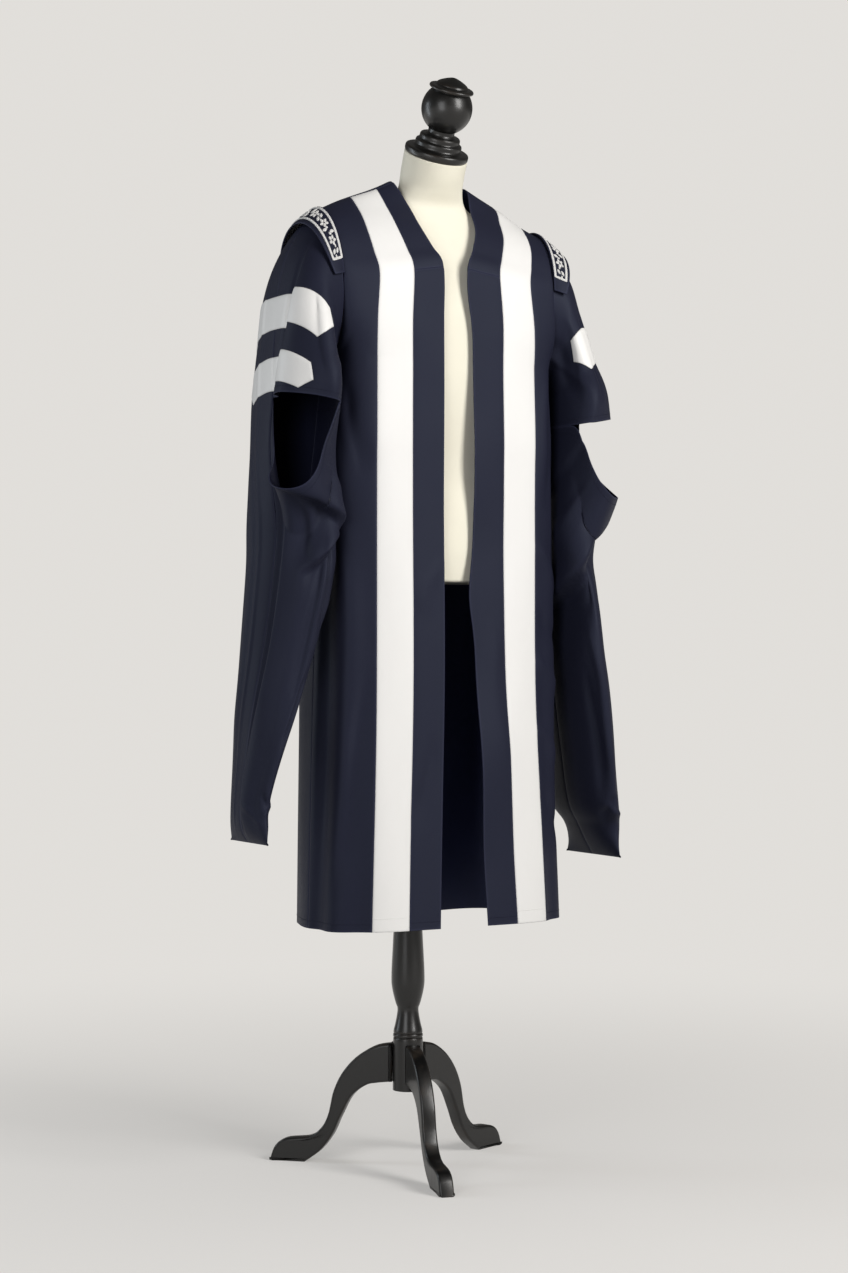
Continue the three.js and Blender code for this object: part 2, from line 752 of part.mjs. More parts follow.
const ball = spread(BALL_FOOT, BALL_HEAD, 11).map((angle) => [
  BALL_RADIUS * Math.cos(angle * RAD),
  BALL_AT + BALL_RADIUS * Math.sin(angle * RAD),
]);
add(head, "neck_cap", turned(CAP_PROFILE), WOOD);
add(head, "finial", turned([...FINIAL_FOOT, ...ball, ...FINIAL_TIP]), WOOD);
head.position.set(...CAP_CENTRE);
head.rotation.x = CAP_TILT * RAD;
form.add(head);
add(form, "pole", turned(POLE_PROFILE), WOOD);

// Legs: flat boards that turn out from the hub.
function legEdge(points) {
  const curve = new THREE.CatmullRomCurve3(points.map(([r, z]) => new THREE.Vector3(r, z, 0)));
  return curve.getPoints(LEG_STEPS).map((p) => new THREE.Vector2(p.x, Math.max(p.y, 0)));
}

const legShape = new THREE.Shape([...legEdge(LEG_TOP), ...legEdge(LEG_UNDER)]);
for (const [name, turn] of Object.entries(LEG_TURNS)) {
  const board = new THREE.ExtrudeGeometry(legShape, { depth: LEG_THICK, bevelEnabled: false });
  board.rotateX(Math.PI / 2).translate(0, LEG_THICK / 2, 0);
  const leg = add(form, `leg_${name}`, board, WOOD);
  leg.position.z = FLOOR_Z;
  leg.rotation.z = (turn - 90) * RAD;
}

// The middle of the bottom of the whole is the origin.
const group = new THREE.Group();
group.name = "graduation_gown";
group.add(gown, form);
group.updateMatrixWorld(true);
const box = new THREE.Box3().setFromObject(group, true);
const middle = box.getCenter(new THREE.Vector3());
group.position.set(-middle.x, -middle.y, -box.min.z);
group.updateMatrixWorld(true);

export default group;
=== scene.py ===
import math

import bpy
import numpy as np
from bpy.props import FloatProperty, FloatVectorProperty, IntProperty, PointerProperty
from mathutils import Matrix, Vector


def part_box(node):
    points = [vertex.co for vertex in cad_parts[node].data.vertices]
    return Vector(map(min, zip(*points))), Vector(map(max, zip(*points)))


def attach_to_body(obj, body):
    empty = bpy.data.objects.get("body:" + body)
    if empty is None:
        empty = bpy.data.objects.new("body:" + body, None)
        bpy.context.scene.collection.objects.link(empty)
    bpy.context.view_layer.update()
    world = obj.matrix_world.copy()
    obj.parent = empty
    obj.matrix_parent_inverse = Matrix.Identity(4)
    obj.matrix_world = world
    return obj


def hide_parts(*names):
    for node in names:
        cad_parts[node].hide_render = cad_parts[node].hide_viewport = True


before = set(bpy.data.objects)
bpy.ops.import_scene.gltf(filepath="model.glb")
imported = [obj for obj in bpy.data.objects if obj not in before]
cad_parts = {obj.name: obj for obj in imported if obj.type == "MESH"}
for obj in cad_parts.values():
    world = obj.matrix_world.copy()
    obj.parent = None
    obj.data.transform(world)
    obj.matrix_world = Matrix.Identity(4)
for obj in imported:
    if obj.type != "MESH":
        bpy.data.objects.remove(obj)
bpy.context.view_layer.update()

bl_info = {
    "name": "Graduation gown on a tripod dress form",
    "version": (1, 0, 0),
    "blender": (4, 5, 0),
    "location": "3D View > Sidebar > Gown",
    "description": "Builds an academic gown with slit sleeves on a dress form and its turned stand",
    "category": "Add Mesh",
}

POLE_LOW, POLE_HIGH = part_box("pole")
SIDES = ("right", "left")
SIGN = {"right": -1.0, "left": 1.0}

# Sizes of the cut, in millimetres from the pole's foot on the floor line of the pattern.
POLE_FOOT = 118.0
HEM_Z = 402.0
FLUTE_TOP = 1150.0
SLIT_Z = {"right": 1221.0, "left": 1208.0}
SLIT_SAG = {"right": 129.0, "left": 118.0}
SLIT_TIP = {"right": 33.0, "left": 46.0}
SLIT_SPAN = {"right": 80.0, "left": 88.0}
LIP_FLARE = 34.0
LIP_FADE = 75.0
CREASE = 25.0
CREASE_SPAN = 60.0
CREASE_FLARE = {"right": 18.0, "left": 26.0}
FRONT_FLUTE = -5.0
BACK_FLUTE = 11.0
TRIM_WIDTH = 118.0
SHOULDER_RISE = 8.0
SHOULDER_DRAW = 12.0
ARMPIT_Z = 1295.0
LEFT_SWAY = 4.5
LINE_STEPS = 120
BODY_MIDDLE = (0, -62, 1000)

POLE_X, POLE_Y = (POLE_LOW.x + POLE_HIGH.x) / 2, (POLE_LOW.y + POLE_HIGH.y) / 2
ORIGIN = np.array([POLE_X, POLE_Y, POLE_LOW.z - POLE_FOOT / 1000])

# Sleeve rings: centre x, y, z, tilt, half size out and fore, turn about Z, bow of the front.
ARMHOLE = [199, -68, 1408, 87, 118, 80, 0, 0]
ELBOW = [
    [257, -86, 1090, 0, 41, 92, 17, 0],
    [258, -88, 1030, 0, 40, 88, 25, 0],
]
SLEEVE_RIGHT = [
    ARMHOLE,
    [227.5, -71, 1374.5, 73, 94.6, 92, 0, 18],
    [240, -75, 1334, 60, 74, 102, 0, 25],
    [246.5, -83, 1290, 43, 55.5, 114, 0, 12],
    [250, -88, 1246, 16, 44, 122, 2, 0],
    [255, -84, 1160, 4, 43, 100, 8, 0],
    *ELBOW,
    [266, -92, 966, 0, 38, 82, 25, 0],
    [282, -88, 856, 0, 34, 71, 25, 0],
    [296, -85, 778, 0, 30, 65, 20, 0],
    [309, -76, 693, 0, 22, 70, 5, 0],
    [324, -76, 607, 0, 18, 58, 0, 0],
    [327, -78, 565, 0, 14, 60, 0, 0],
    [327, -78, 542, 0, 2.15, 64, 0, 0],
]
SLEEVE_LEFT = [
    ARMHOLE,
    [222.5, -70, 1374.5, 73, 92, 84, 0, 18],
    [232, -72, 1334, 60, 64, 84, 0, 25],
    [238.5, -78, 1290, 43, 47.5, 92, 0, 12],
    [244, -84, 1246, 16, 41, 110, 2, 0],
    [243, -84, 1160, 4, 35, 98, 8, 0],
    *ELBOW,
    [253, -86, 966, 0, 36, 100, 10, 0],
    [256, -84, 856, 0, 34, 108, 4, 0],
    [264, -84, 778, 0, 34, 108, 0, 0],
    [277, -82, 690, 0, 34, 104, 0, 0],
    [292, -80, 590, 0, 32, 93, 0, 0],
    [308, -80, 549, 0, 28, 72, 0, 0],
    [312, -80, 520, 0, 16, 72, 0, 0],
    [312, -80, 497, 0, 2.15, 80, 0, 0],
]
SLEEVES = {"right": np.array(SLEEVE_RIGHT, float), "left": np.array(SLEEVE_LEFT, float)}

# Half body rows from the front hem over the shoulder seam to the back hem: start x, y, z, angle on
# the armhole or end x, y, squareness, width of the facing and of the stripe.
BODY_ROWS = [
    [42, -180, HEM_Z, None, 218, -64, 2.9, 56, 62],
    [28, -165, 760, None, 213, -70, 3.2, 56, 62],
    [26, -161, 1085, None, 204, -72, 3.7, 56, 62],
    [26, -161, 1180, None, 200, -72, 4.3, 56, 62],
    [25, -160, 1280, 178, 0, 0, 4.3, 56, 62],
    [25, -160, 1310, 150, 0, 0, 3.6, 56, 62],
    [25, -160, 1360, 115, 0, 0, 3.0, 56, 62],
    [24, -157, 1447, 85, 0, 0, 2.5, 54, 62],
    [38, -145, 1480, 68, 0, 0, 2.5, 46, 60],
    [52, -128, 1515, 50, 0, 0, 2.5, 40, 56],
    [58, -103, 1549, 28, 0, 0, 2.5, 38, 53],
    [68, -70, 1591, 0, 0, 0, 2.5, 34, 52],
    [60, -32, 1590, -28, 0, 0, 2.5, 34, 52],
    [35, -6, 1586, -50, 0, 0, 2.5, 34, 52],
    [0, 4, 1580, -68, 0, 0, 2.5, 34, 52],
    [0, 20, 1510, -85, 0, 0, 2.5, 40, 56],
    [0, 40, 1400, -115, 0, 0, 3.0, 56, 62],
    [0, 48, 1330, -150, 0, 0, 3.6, 56, 62],
    [0, 52, 1285, -178, 0, 0, 4.3, 56, 62],
    [0, 54, 1180, None, 200, -72, 4.3, 56, 62],
    [0, 52, 1085, None, 204, -72, 3.7, 56, 62],
    [0, 58, 760, None, 213, -70, 3.6, 56, 62],
    [0, 70, HEM_Z, None, 218, -64, 3.6, 56, 62],
]
# On the left the stripe runs straighter up to the shoulder: facing and stripe from the chest seam up.
LEFT_WIDTHS = {7: (55, 62), 8: (53, 62), 9: (54, 61), 10: (57, 60), 11: (58, 60)}
CHEST_SEAM = 7
SHOULDER = 11
NECK_BACK = 14
YOKE_ROW = 15
LAST_ROW = 22
NECK_SHARE = 1 / 3
END_ROW = 0.15

# Front pieces: first and last body row, grid rows, near and far seam, columns and their margin,
# sewn edges, material and finish.
SEWN = ("near", "far", "end")
FRONTS = {
    "facing": (0, CHEST_SEAM, 150, "edge", "facing", (16, 0.02), SEWN[1:], "navy", "navy_cloth"),
    "collar": (
        CHEST_SEAM, SHOULDER, 44, "edge", "facing", (16, 0.02), ("start", "end", "far"), "navy",
        "navy_cloth",
    ),
    "stripe": (0, SHOULDER, 180, "facing", "stripe", (18, 0.02), SEWN, "satin", "white_satin"),
    "front": (0, SHOULDER, 180, "stripe", "side", (46, 0.01), SEWN, "navy", "navy_cloth"),
}

# Bars: first and last row, lean of both edges, angles of the three corners, place of the tip.
BARS = {
    "right": {
        "upper": (1.98, 2.73, -0.14, 0.52, (91, 98, 63), 0.33),
        "lower": (3.38, 4.07, 0.3, 0.25, (52, 54, 39), 0.53),
    },
    "left": {
        "upper": (2.36, 3.17, -0.47, 0.0, (107, 113, 80), 0.53),
        "lower": (3.72, 4.28, 0.0, 0.0, (28, 31, 22), 0.53),
    },
}
BAR_STEP = 0.12
BAR_LIFT = 0.5
SLEEVE_HELD = 0.4
WING_SWEEP = 82.0
WING_MID = 47.0
WING_END = 21.0
WING_LIFT = 3.5
WING_WALL = 2.2
WING_SKINS = (1.6, -0.6)
WING_DEGREE_MM = 1.62
WING_DROOP = 0.72
WING_DROOP_TURN = 0.2
BRAID_SWEEP = 70.5
BRAID_IN = 0.095
BRAID_OUT = 0.775
VINE_STEP = 15.0
VINE_REACH = 118.0

# Form sections: centre y, z, half width, half depth, squareness, forward tilt.
TORSO_ROWS = np.array(
    [
        [-62, 948, 150, 80, 2.3, 0],
        [-61, 1000, 158, 86, 2.3, 0],
        [-60, 1060, 150, 86, 2.3, 0],
        [-61, 1130, 130, 78, 2.3, 0],
        [-60, 1200, 138, 82, 2.3, 0],
        [-62, 1290, 152, 87, 2.4, 0],
        [-63, 1370, 160, 86, 2.5, 0],
        [-63, 1430, 163, 78, 2.5, 0],
        [-62, 1480, 164, 65, 2.4, 0],
        [-62, 1512, 150, 53, 2.3, 0],
        [-63, 1536, 108, 43, 2.2, 0],
        [-66, 1556, 68, 38, 2.1, 3],
        [-72, 1580, 55, 44, 2.0, 10],
        [-80, 1608, 52, 50, 2.0, 20],
        [-90.5, 1634.5, 52, 51, 2.0, 27],
    ],
    float,
)
CAP_CENTRE = (0.0, -93.0, 1641.0)
CAP_TILT = 27.0
# Turned profiles and leg outlines: distance from the axis, height.
POLE_PROFILE = [
    [25, 118], [25, 203], [22.5, 204.5], [24.5, 206], [24.5, 210], [22.5, 211.5], [24.5, 213],
    [20.5, 228], [17.6, 244], [17, 253], [19.5, 258], [24, 274], [27, 290], [27.4, 299], [27, 318],
    [25, 355], [23.5, 385], [20, 440], [16, 500], [16, 947.7],
]
CAP_PROFILE = [
    [50, -6], [52, -3], [52, 4], [49, 6], [38, 7], [38, 16], [36, 18], [33, 19], [33, 26], [31, 28],
]
BALL_AT = 72.0
BALL_RADIUS = 41.0
BALL_FOOT = -58.0
BALL_HEAD = 43.0
FINIAL_FOOT = [[24, 28.3], [21.5, 31], [21.5, 36]]
FINIAL_TIP = [
    [30, 100.5], [36, 102], [36, 106], [33, 107.5], [26, 108], [25, 112], [16, 117], [6, 121],
    [1, 122],
]
LEG_TURNS = {"left": -134.0, "front": -14.5, "back": 110.0}
LEG_THICK = 24.0
LEG_TOP = [
    [25.3, 202], [55, 196], [86, 177], [110, 150], [125, 119], [134, 81], [146, 58], [167, 43],
    [208, 37], [226, 24], [235, 0],
]
LEG_UNDER = [
    [175, 0], [148, 20], [127, 47], [113, 77], [94, 112], [70, 131], [51, 136], [25.3, 139],
]
LEG_STEPS = 90
FLOOR_Z = -8.0

# View: focal length and rise as shares of the picture's height, shift aside as a share of the
# distance, and film height.
FOCAL = 2451 / 1273
VIEW_RISE = 3.5 / 1273
VIEW_ASIDE = 16 / 2451
FILM = 36.0
# Lights: place, target, size, watts and colour.
LIGHTS = {
    "key": ((1.5, -3.5, 2.5), (0, 0, 0.95), (1.5, 2.4), 152, (1, 0.985, 0.965)),
    "fill": ((-2.9, -2.2, 1.6), (0, 0, 0.9), (1.6, 2.4), 44, (0.98, 0.985, 1)),
    "rim_left": ((-2.4, 1.7, 1.6), (-0.2, 0, 1.0), (0.7, 2.2), 24, (0.85, 0.93, 1)),
}
FLOOR_RINGS = [0.0, 0.6, 1.4, 2.4, 4.0, 8.0, 30.0, 90.0]
FLOOR_SIDES = 64

# Where folds begin and how they fade; ripple seeds; waves of a front's edge as height, place and
# span, and the rolls of the left edge as depth, place and span.
FRONT_FOLD_TOP = 1480.0
BACK_FOLD_TOP = 1540.0
FOLD_FADE = 200.0
SEAM_QUIET = 22.0
SLEEVE_FOLD_TOP = 1490.0
SLEEVE_TOP_FADE = 130.0
SLEEVE_END_FADE = 70.0
DEGREE_MM = 1.5
EDGE_WIDTH = 58.0
EDGE_TOP = 1250.0
EDGE_FADE = 300.0
EDGE_WAVES = {"right": [(2.2, 640, 120)], "left": [(6.0, 520, 92), (-2.5, 460, 41)]}
EDGE_ROLLS = [(8, 1415, 60), (9, 925, 55)]
RIPPLE_SEEDS = {"right": 0.4, "left": 2.6, "back": 5.1, "sleeve": 3.3}

# Folds placed one by one: from, to, depth and width. Across is in millimetres from the front edge on
# the body and in degrees round the ring on a sleeve; the second number is the height.
FRONT_FOLDS = {
    "right": [
        (138, 780, 178, 440, -5.0, 15),
        (205, 1120, 214, 402, -9.0, 26),
        (168, 980, 158, 560, 3.5, 20),
        (170, 1250, 142, 1110, -4.5, 13),
        (190, 1180, 176, 1040, 3.0, 14),
        (20, 700, 44, 560, -2.0, 14),
        (12, 980, 48, 900, 1.8, 12),
        (235, 900, 240, 402, 5.0, 14),
    ],
    "left": [
        (124, 1010, 196, 930, 3.2, 11),
        (126, 900, 190, 850, -3.0, 12),
        (124, 830, 188, 770, 3.4, 11),
        (124, 720, 184, 660, 3.0, 12),
        (126, 610, 190, 540, -3.0, 14),
        (150, 1290, 136, 1080, 3.0, 13),
        (166, 1260, 150, 1060, -3.5, 13),
        (205, 1100, 212, 402, -8.0, 24),
        (30, 880, 44, 640, 3.0, 20),
    ],
}
BACK_FOLDS = [
    (-60, 1450, -80, 402, 4.0, 26),
    (58, 1400, 84, 402, 4.0, 28),
    (-130, 1240, -150, 402, -5.0, 24),
    (126, 1260, 148, 402, -5.0, 24),
    (0, 1300, 6, 402, -4.0, 30),
    (-170, 1300, -120, 1180, -3.0, 14),
    (172, 1300, 122, 1190, -3.0, 14),
]
SLEEVE_FOLDS = {
    "right": [
        (26, 1068, 46, 962, -8.0, 14),
        (60, 1120, 158, 1070, 4.0, 18),
        (96, 1010, 104, 872, -6.0, 11),
        (126, 1004, 122, 880, 5.0, 13),
        (64, 1000, 74, 760, -4.5, 13),
        (40, 1040, 46, 700, 3.0, 18),
        (100, 800, 88, 690, -4.0, 10),
        (320, 1180, 322, 640, 2.0, 12),
        (285, 1120, 280, 640, -3.0, 18),
        (60, 620, 120, 588, -4.0, 7),
        (70, 588, 150, 606, 3.0, 6),
        (20, 600, 70, 572, 3.0, 6),
    ],
    "left": [
        (70, 1120, 160, 1010, 3.0, 16),
        (70, 980, 168, 840, -4.0, 22),
        (110, 860, 96, 620, 5.0, 16),
        (70, 840, 74, 600, -5.0, 15),
        (128, 800, 118, 600, -4.0, 12),
        (330, 1100, 330, 640, 2.5, 14),
        (290, 1100, 284, 640, -3.5, 20),
        (80, 600, 130, 566, -5.0, 9),
        (60, 566, 120, 584, 3.0, 7),
    ],
}
# Overlapping folds: the cloth above the line stands over the cloth below it. The last two numbers
# are the height of the step and how far it fades.
FLAPS = {
    "right": [
        (10, 1100, 120, 1023, 11.0, 40),
        (34, 963, 124, 1018, 8.0, 32),
    ],
    "left": [
        (18, 1058, 188, 892, 14.0, 62),
        (96, 1190, 176, 1080, 2.5, 30),
    ],
}
TOP_FOLDS = [
    (62, 1390, 70, 1250, -2.5, 9),
    (96, 1380, 112, 1240, 2.5, 12),
    (130, 1360, 128, 1250, -3.0, 12),
    (150, 1330, 100, 1258, 2.0, 8),
    (310, 1380, 312, 1230, -2.0, 10),
    (250, 1380, 240, 1240, -3.0, 16),
]


def between(rows, t):
    """Smooth values between the rows of a table: a Catmull-Rom cubic in the row number."""
    t = np.asarray(t, float)
    i = np.clip(np.floor(t).astype(int), 0, len(rows) - 2)
    f = (t - i)[..., None]
    a, b, c, d = (rows[np.clip(i + k, 0, len(rows) - 1)] for k in (-1, 0, 1, 2))
    slope = (c - a) / 2
    ahead = (d - b) / 2
    square = -3 * b + 3 * c - 2 * slope - ahead
    cube = 2 * b - 2 * c + slope + ahead
    return b + f * (slope + f * (square + f * cube))


def smooth(x, low, high):
    """A rise from 0 at low to 1 at high with level ends: 3x^2 - 2x^3."""
    x = np.clip((x - low) / (high - low), 0, 1)
    return x * x * (3 - 2 * x)


def bell(x, middle, width):
    """A bell curve: exp(-((x - middle) / width)^2)."""
    return np.exp(-(((x - middle) / width) ** 2))


def unit(vectors):
    """Vectors brought to length 1."""
    return vectors / np.maximum(np.linalg.norm(vectors, axis=-1, keepdims=True), 1e-12)


def walk(points, axis=0):
    """Distance walked along one axis of a line or grid of points."""
    walked = np.cumsum(np.linalg.norm(np.diff(points, axis=axis), axis=-1), axis=axis)
    return np.concatenate([0 * np.take(walked, [0], axis), walked], axis)


def hump(angle, peak, before, after):
    """A squared cosine that is 1 at the peak and 0 at the two spans from it."""
    far = np.where(angle < peak, (peak - angle) / before, (angle - peak) / after)
    return np.cos(np.pi / 2 * np.clip(far, 0, 1)) ** 2


def sag(side, angle):
    """How far the slit's lower edge sags: a quartic rise to its tip, then a squared cosine."""
    tip = SLIT_TIP[side]
    rise = 1 - (np.clip(tip - angle, 0, None) / tip) ** 4
    return np.where(angle < tip, rise, hump(angle, tip, tip, SLIT_SPAN[side]))


def row_at_height(side, z):
    """Row number of a sleeve at a height below the elbow, linear between its rows."""
    rows = SLEEVES[side]
    return np.interp(-np.asarray(z, float), -rows[4:, 2], np.arange(4, len(rows), dtype=float))


def ring_point(side, t, angle, inset=0.0, flare=0.0):
    """A tilted, turned ellipse at row t: out * cos(angle) outward, fore * sin(angle) forward."""
    row = between(SLEEVES[side], t)
    x, y, z, tilt, out, fore, turn, bow = np.moveaxis(row, -1, 0)
    cos, sin = np.cos(np.radians(angle)), np.sin(np.radians(angle))
    tilt, turn = np.radians(tilt), np.radians(turn)
    out = (out - inset + flare) * cos
    fore = (fore - inset + flare) * sin
    px = x + out * np.cos(tilt) * np.cos(turn) - fore * np.sin(turn)
    py = y - out * np.sin(turn) - fore * np.cos(turn)
    pz = z + out * np.sin(tilt) + bow * sin * sin
    return np.stack([SIGN[side] * px, py, pz], axis=-1)


def ring_centre(side, t):
    """Middle of a sleeve's ring at row t."""
    return between(SLEEVES[side], t)[:3] * np.array([SIGN[side], 1, 1])


def upper_sleeve(side, t, angle):
    """The ring above the slit; its front edge stands out along the crease as (t / hem)^5."""
    hem = row_at_height(side, SLIT_Z[side])
    around = np.mod(angle, 360)
    front = np.where(around > 180, 0, hump(around, CREASE, CREASE, CREASE_SPAN))
    return ring_point(side, t, around, 0, CREASE_FLARE[side] * front * (t / hem) ** 5)


def lip_row(side, angle):
    """Row number of the slit's lower edge, which hangs by the sag below the slit."""
    return row_at_height(side, SLIT_Z[side] - SLIT_SAG[side] * sag(side, angle))


def lower_sleeve(side, t, angle):
    """The ring below the slit; its lip flares by the sag and fades over LIP_FADE below it."""
    rows = SLEEVES[side]
    lip = lip_row(side, angle)
    below = between(rows, lip)[..., 2] - between(rows, t)[..., 2]
    hang = sag(side, angle)
    swell = np.where(angle < SLIT_TIP[side], hang**3, hang)
    fade = np.clip(1 - below / LIP_FADE, 0, None)
    return ring_point(side, t, angle, 0, LIP_FLARE * swell * fade)


def resolved_rows(side):
    """Body rows with the ends that lie on the armhole worked out from the sleeve's first ring."""
    rows = []
    for k, (x, y, z, armhole, xo, yo, square, facing, stripe) in enumerate(BODY_ROWS):
        zo = z
        if side == "left":
            facing, stripe = LEFT_WIDTHS.get(k, (facing, stripe))
        if armhole is not None:
            xo, yo, zo = ring_point("left", 0.0, float(armhole))
        rows.append([x, y, z, xo, yo, zo, square, facing, stripe])
    return np.array(rows, float)


BODIES = {side: resolved_rows(side) for side in SIDES}
BODY = BODIES["right"]


def body_points(t, share):
    """Half body: each row is a quarter superellipse from its start to its end, walked by length."""
    row = between(BODY, t)
    x, y, z, xo, yo, zo, square = (row[..., k, None] for k in range(7))
    turn = np.linspace(0, np.pi / 2, LINE_STEPS + 1)
    f = np.sin(turn) ** (2 / square)
    g = np.clip(np.cos(turn), 0, None) ** (2 / square)
    line = np.stack([x + (xo - x) * f, yo + (y - yo) * g, z + (zo - z) * f], axis=-1)
    walked = walk(line, line.ndim - 2)
    length = walked[..., -1]
    along = share * length
    k = np.clip((walked < along[..., None]).sum(axis=-1), 1, LINE_STEPS)[..., None]
    low = np.take_along_axis(walked, k - 1, -1)[..., 0]
    high = np.take_along_axis(walked, k, -1)[..., 0]
    a = np.take_along_axis(line, (k - 1)[..., None], -2)[..., 0, :]
    b = np.take_along_axis(line, k[..., None], -2)[..., 0, :]
    f = np.clip((along - low) / np.maximum(high - low, 1e-9), 0, 1)[..., None]
    return a + (b - a) * f, length


def even_rows(first, last, count, share=0.0):
    """Row numbers whose points lie evenly along one line of the body."""
    fine = np.linspace(first, last, 400)
    points, _ = body_points(fine, np.full(400, share))
    walked = walk(points)
    return np.interp(np.linspace(0, walked[-1], count), walked, fine)


def edged(count, margin):
    """Places from 0 to 1, even, with one more close to each end to hold the edge."""
    inner = np.linspace(0, 1, count)[1:-1]
    return np.concatenate([[0, margin], inner, [1 - margin, 1]])


def beside(across, height, line, scale):
    """Share along a line from (a0, z0) to (a1, z1), and the distance to one side of it."""
    a0, z0, a1, z1 = line
    ax, ay = (a1 - a0) * scale, z1 - z0
    px, py = (across - a0) * scale, height - z0
    size = math.hypot(ax, ay)
    return (px * ax + py * ay) / size**2, (px * ay - py * ax) / size


def creases(across, height, folds, scale=1.0):
    """Sum of folds: depth * exp(-(distance / width)^2) to a line, uneven along it, ends faded."""
    total = np.zeros(np.broadcast(across, height).shape)
    for k, (*line, depth, width) in enumerate(folds):
        along, off = beside(across, height, line, scale)
        off = off + 0.22 * width * np.sin(7.0 * along + 1.7 * k)
        spread = width * np.where(off > 0, 1.25, 0.8) * (0.75 + 0.5 * np.clip(along, 0, 1))
        ends = smooth(along, -0.12, 0.25) * smooth(1 - along, -0.12, 0.3)
        total = total + depth * ends * bell(off, 0, spread)
    return total


def steps(across, height, flaps, scale):
    """Sum of overlaps: depth * tanh(distance / 4) to a line, fading as exp(-(distance / fade)^2)."""
    total = np.zeros(np.broadcast(across, height).shape)
    for k, (*line, depth, fade) in enumerate(flaps):
        along, off = beside(across, height, line, scale)
        off = 5 * np.sin(5.0 * along + k) - off
        ends = smooth(along, -0.05, 0.2) * smooth(1 - along, -0.1, 0.25)
        total = total + depth * ends * np.tanh(off / 4) * bell(off, 0, fade)
    return total


def ripple(across, height, seed):
    """Slow unevenness of hanging cloth: three long sine waves of under a millimetre."""
    a = np.sin(across / 31 + height / 170 + seed)
    b = np.sin(across / 17 - height / 95 + 2.1 * seed)
    c = np.sin(height / 60 + across / 47 + 0.7 * seed)
    return 0.55 * a + 0.35 * b + 0.3 * c


def body_relief(side, across, height, length):
    """Folds of a front, the same for its facing, stripe and panel so that the seams stay shut."""
    fall = np.clip(FLUTE_TOP - height, 0, None) / (FLUTE_TOP - HEM_Z)
    _, wide = body_points(np.array([1.0]), np.array([0.0]))
    first = TRIM_WIDTH / wide[0]
    part = np.clip(across / wide[0] - first, 0, None) / (1 - first)
    flute = fall * FRONT_FLUTE * np.sin(3 * np.pi * np.clip(part, 0, 1))
    hang = smooth(FRONT_FOLD_TOP - height, 0, FOLD_FADE)
    edge = bell(across, 0, EDGE_WIDTH) * smooth(EDGE_TOP - height, 0, EDGE_FADE)
    wave = sum(rise * np.sin((height - z) / span) for rise, z, span in EDGE_WAVES[side])
    seed = RIPPLE_SEEDS[side]
    soft = hang * (creases(across, height, FRONT_FOLDS[side]) + ripple(across, height, seed))
    soft = soft * smooth(length - across, 0, SEAM_QUIET)
    return flute + soft + edge * wave


def crease_angle(height):
    """Angle of the pressed crease, which slants forward from the elbow up to the shoulder."""
    return 11 + 24 * smooth(height, 1215, 1450)


def sleeve_relief(side, angle, height):
    """Folds of a sleeve: a pressed crease that steps down to the back, drag folds and ripple."""
    around = np.mod(angle, 360)
    signed = np.where(around > 180, around - 360, around)
    low = SLEEVES[side][-1, 2]
    ends = smooth(height, low, low + SLEEVE_END_FADE)
    top = smooth(SLEEVE_FOLD_TOP - height, 0, SLEEVE_TOP_FADE)
    line = crease_angle(height)
    past = signed - line
    step = 6.5 * smooth(40 - past, 0, 34) * smooth(past, -2.5, 1.5)
    groove = -3.5 * bell(past, -4.5, 4.0)
    back_line = 1.6 * bell(signed, -24, 3.5)
    pressed = (step + groove + back_line) * top * ends
    folds = creases(around, height, SLEEVE_FOLDS[side], DEGREE_MM)
    folds = folds + creases(around, height, TOP_FOLDS, DEGREE_MM)
    folds = folds + steps(around, height, FLAPS[side], DEGREE_MM)
    return pressed + ends * top * (folds + ripple(around * DEGREE_MM, height, RIPPLE_SEEDS["sleeve"]))


def grid_normals(points):
    """Unit normals of a grid of points: the cross product of its two directions."""
    return unit(np.cross(np.gradient(points, axis=0), np.gradient(points, axis=1)))


def outward(points, inside):
    """Grid normals turned so that they point away from a place inside the piece."""
    normal = grid_normals(points)
    return normal * np.sign(np.sum(normal * (points - inside)))


def edge_lengths(points):
    """Distance of each grid point from its four edges: first row, last row, near and far column."""
    down, across = walk(points, 0), walk(points, 1)
    return down, down[-1:] - down, across, across[:, -1:] - across


def seam_dip(points, seams, depth=0.9, width=3.0):
    """The turned-in seam edge: depth * exp(-distance / width) below the panel."""
    names = ("start", "end", "near", "far")
    dips = [np.exp(-d / width) for name, d in zip(names, edge_lengths(points)) if name in seams]
    return -depth * np.max(dips, axis=0) if dips else np.zeros(points.shape[:2])


def settled(points):
    """The gown as it sits: the right shoulder a little higher, the left one drawn in."""
    x, y, z = np.moveaxis(np.asarray(points, float), -1, 0)
    up = SHOULDER_RISE * smooth(z, 1430, 1520) * smooth(-x, 80, 180)
    inward = SHOULDER_DRAW * smooth(z, 1310, 1430) * smooth(x, 120, 195)
    return np.stack([x - inward, y, z + up], axis=-1)


def to_metres(points):
    """Pattern millimetres to the part's frame in metres."""
    return np.asarray(points) / 1000 + ORIGIN


def grid_faces(rows, columns, wrap=False):
    """Quads of a grid, the last column joined to the first where it wraps round."""
    last = columns if wrap else columns - 1
    i, j = np.meshgrid(np.arange(rows - 1), np.arange(last), indexing="ij")
    k = (j + 1) % columns
    here, below = i * columns, (i + 1) * columns
    return np.stack([here + j, here + k, below + k, below + j], -1).reshape(-1, 4)


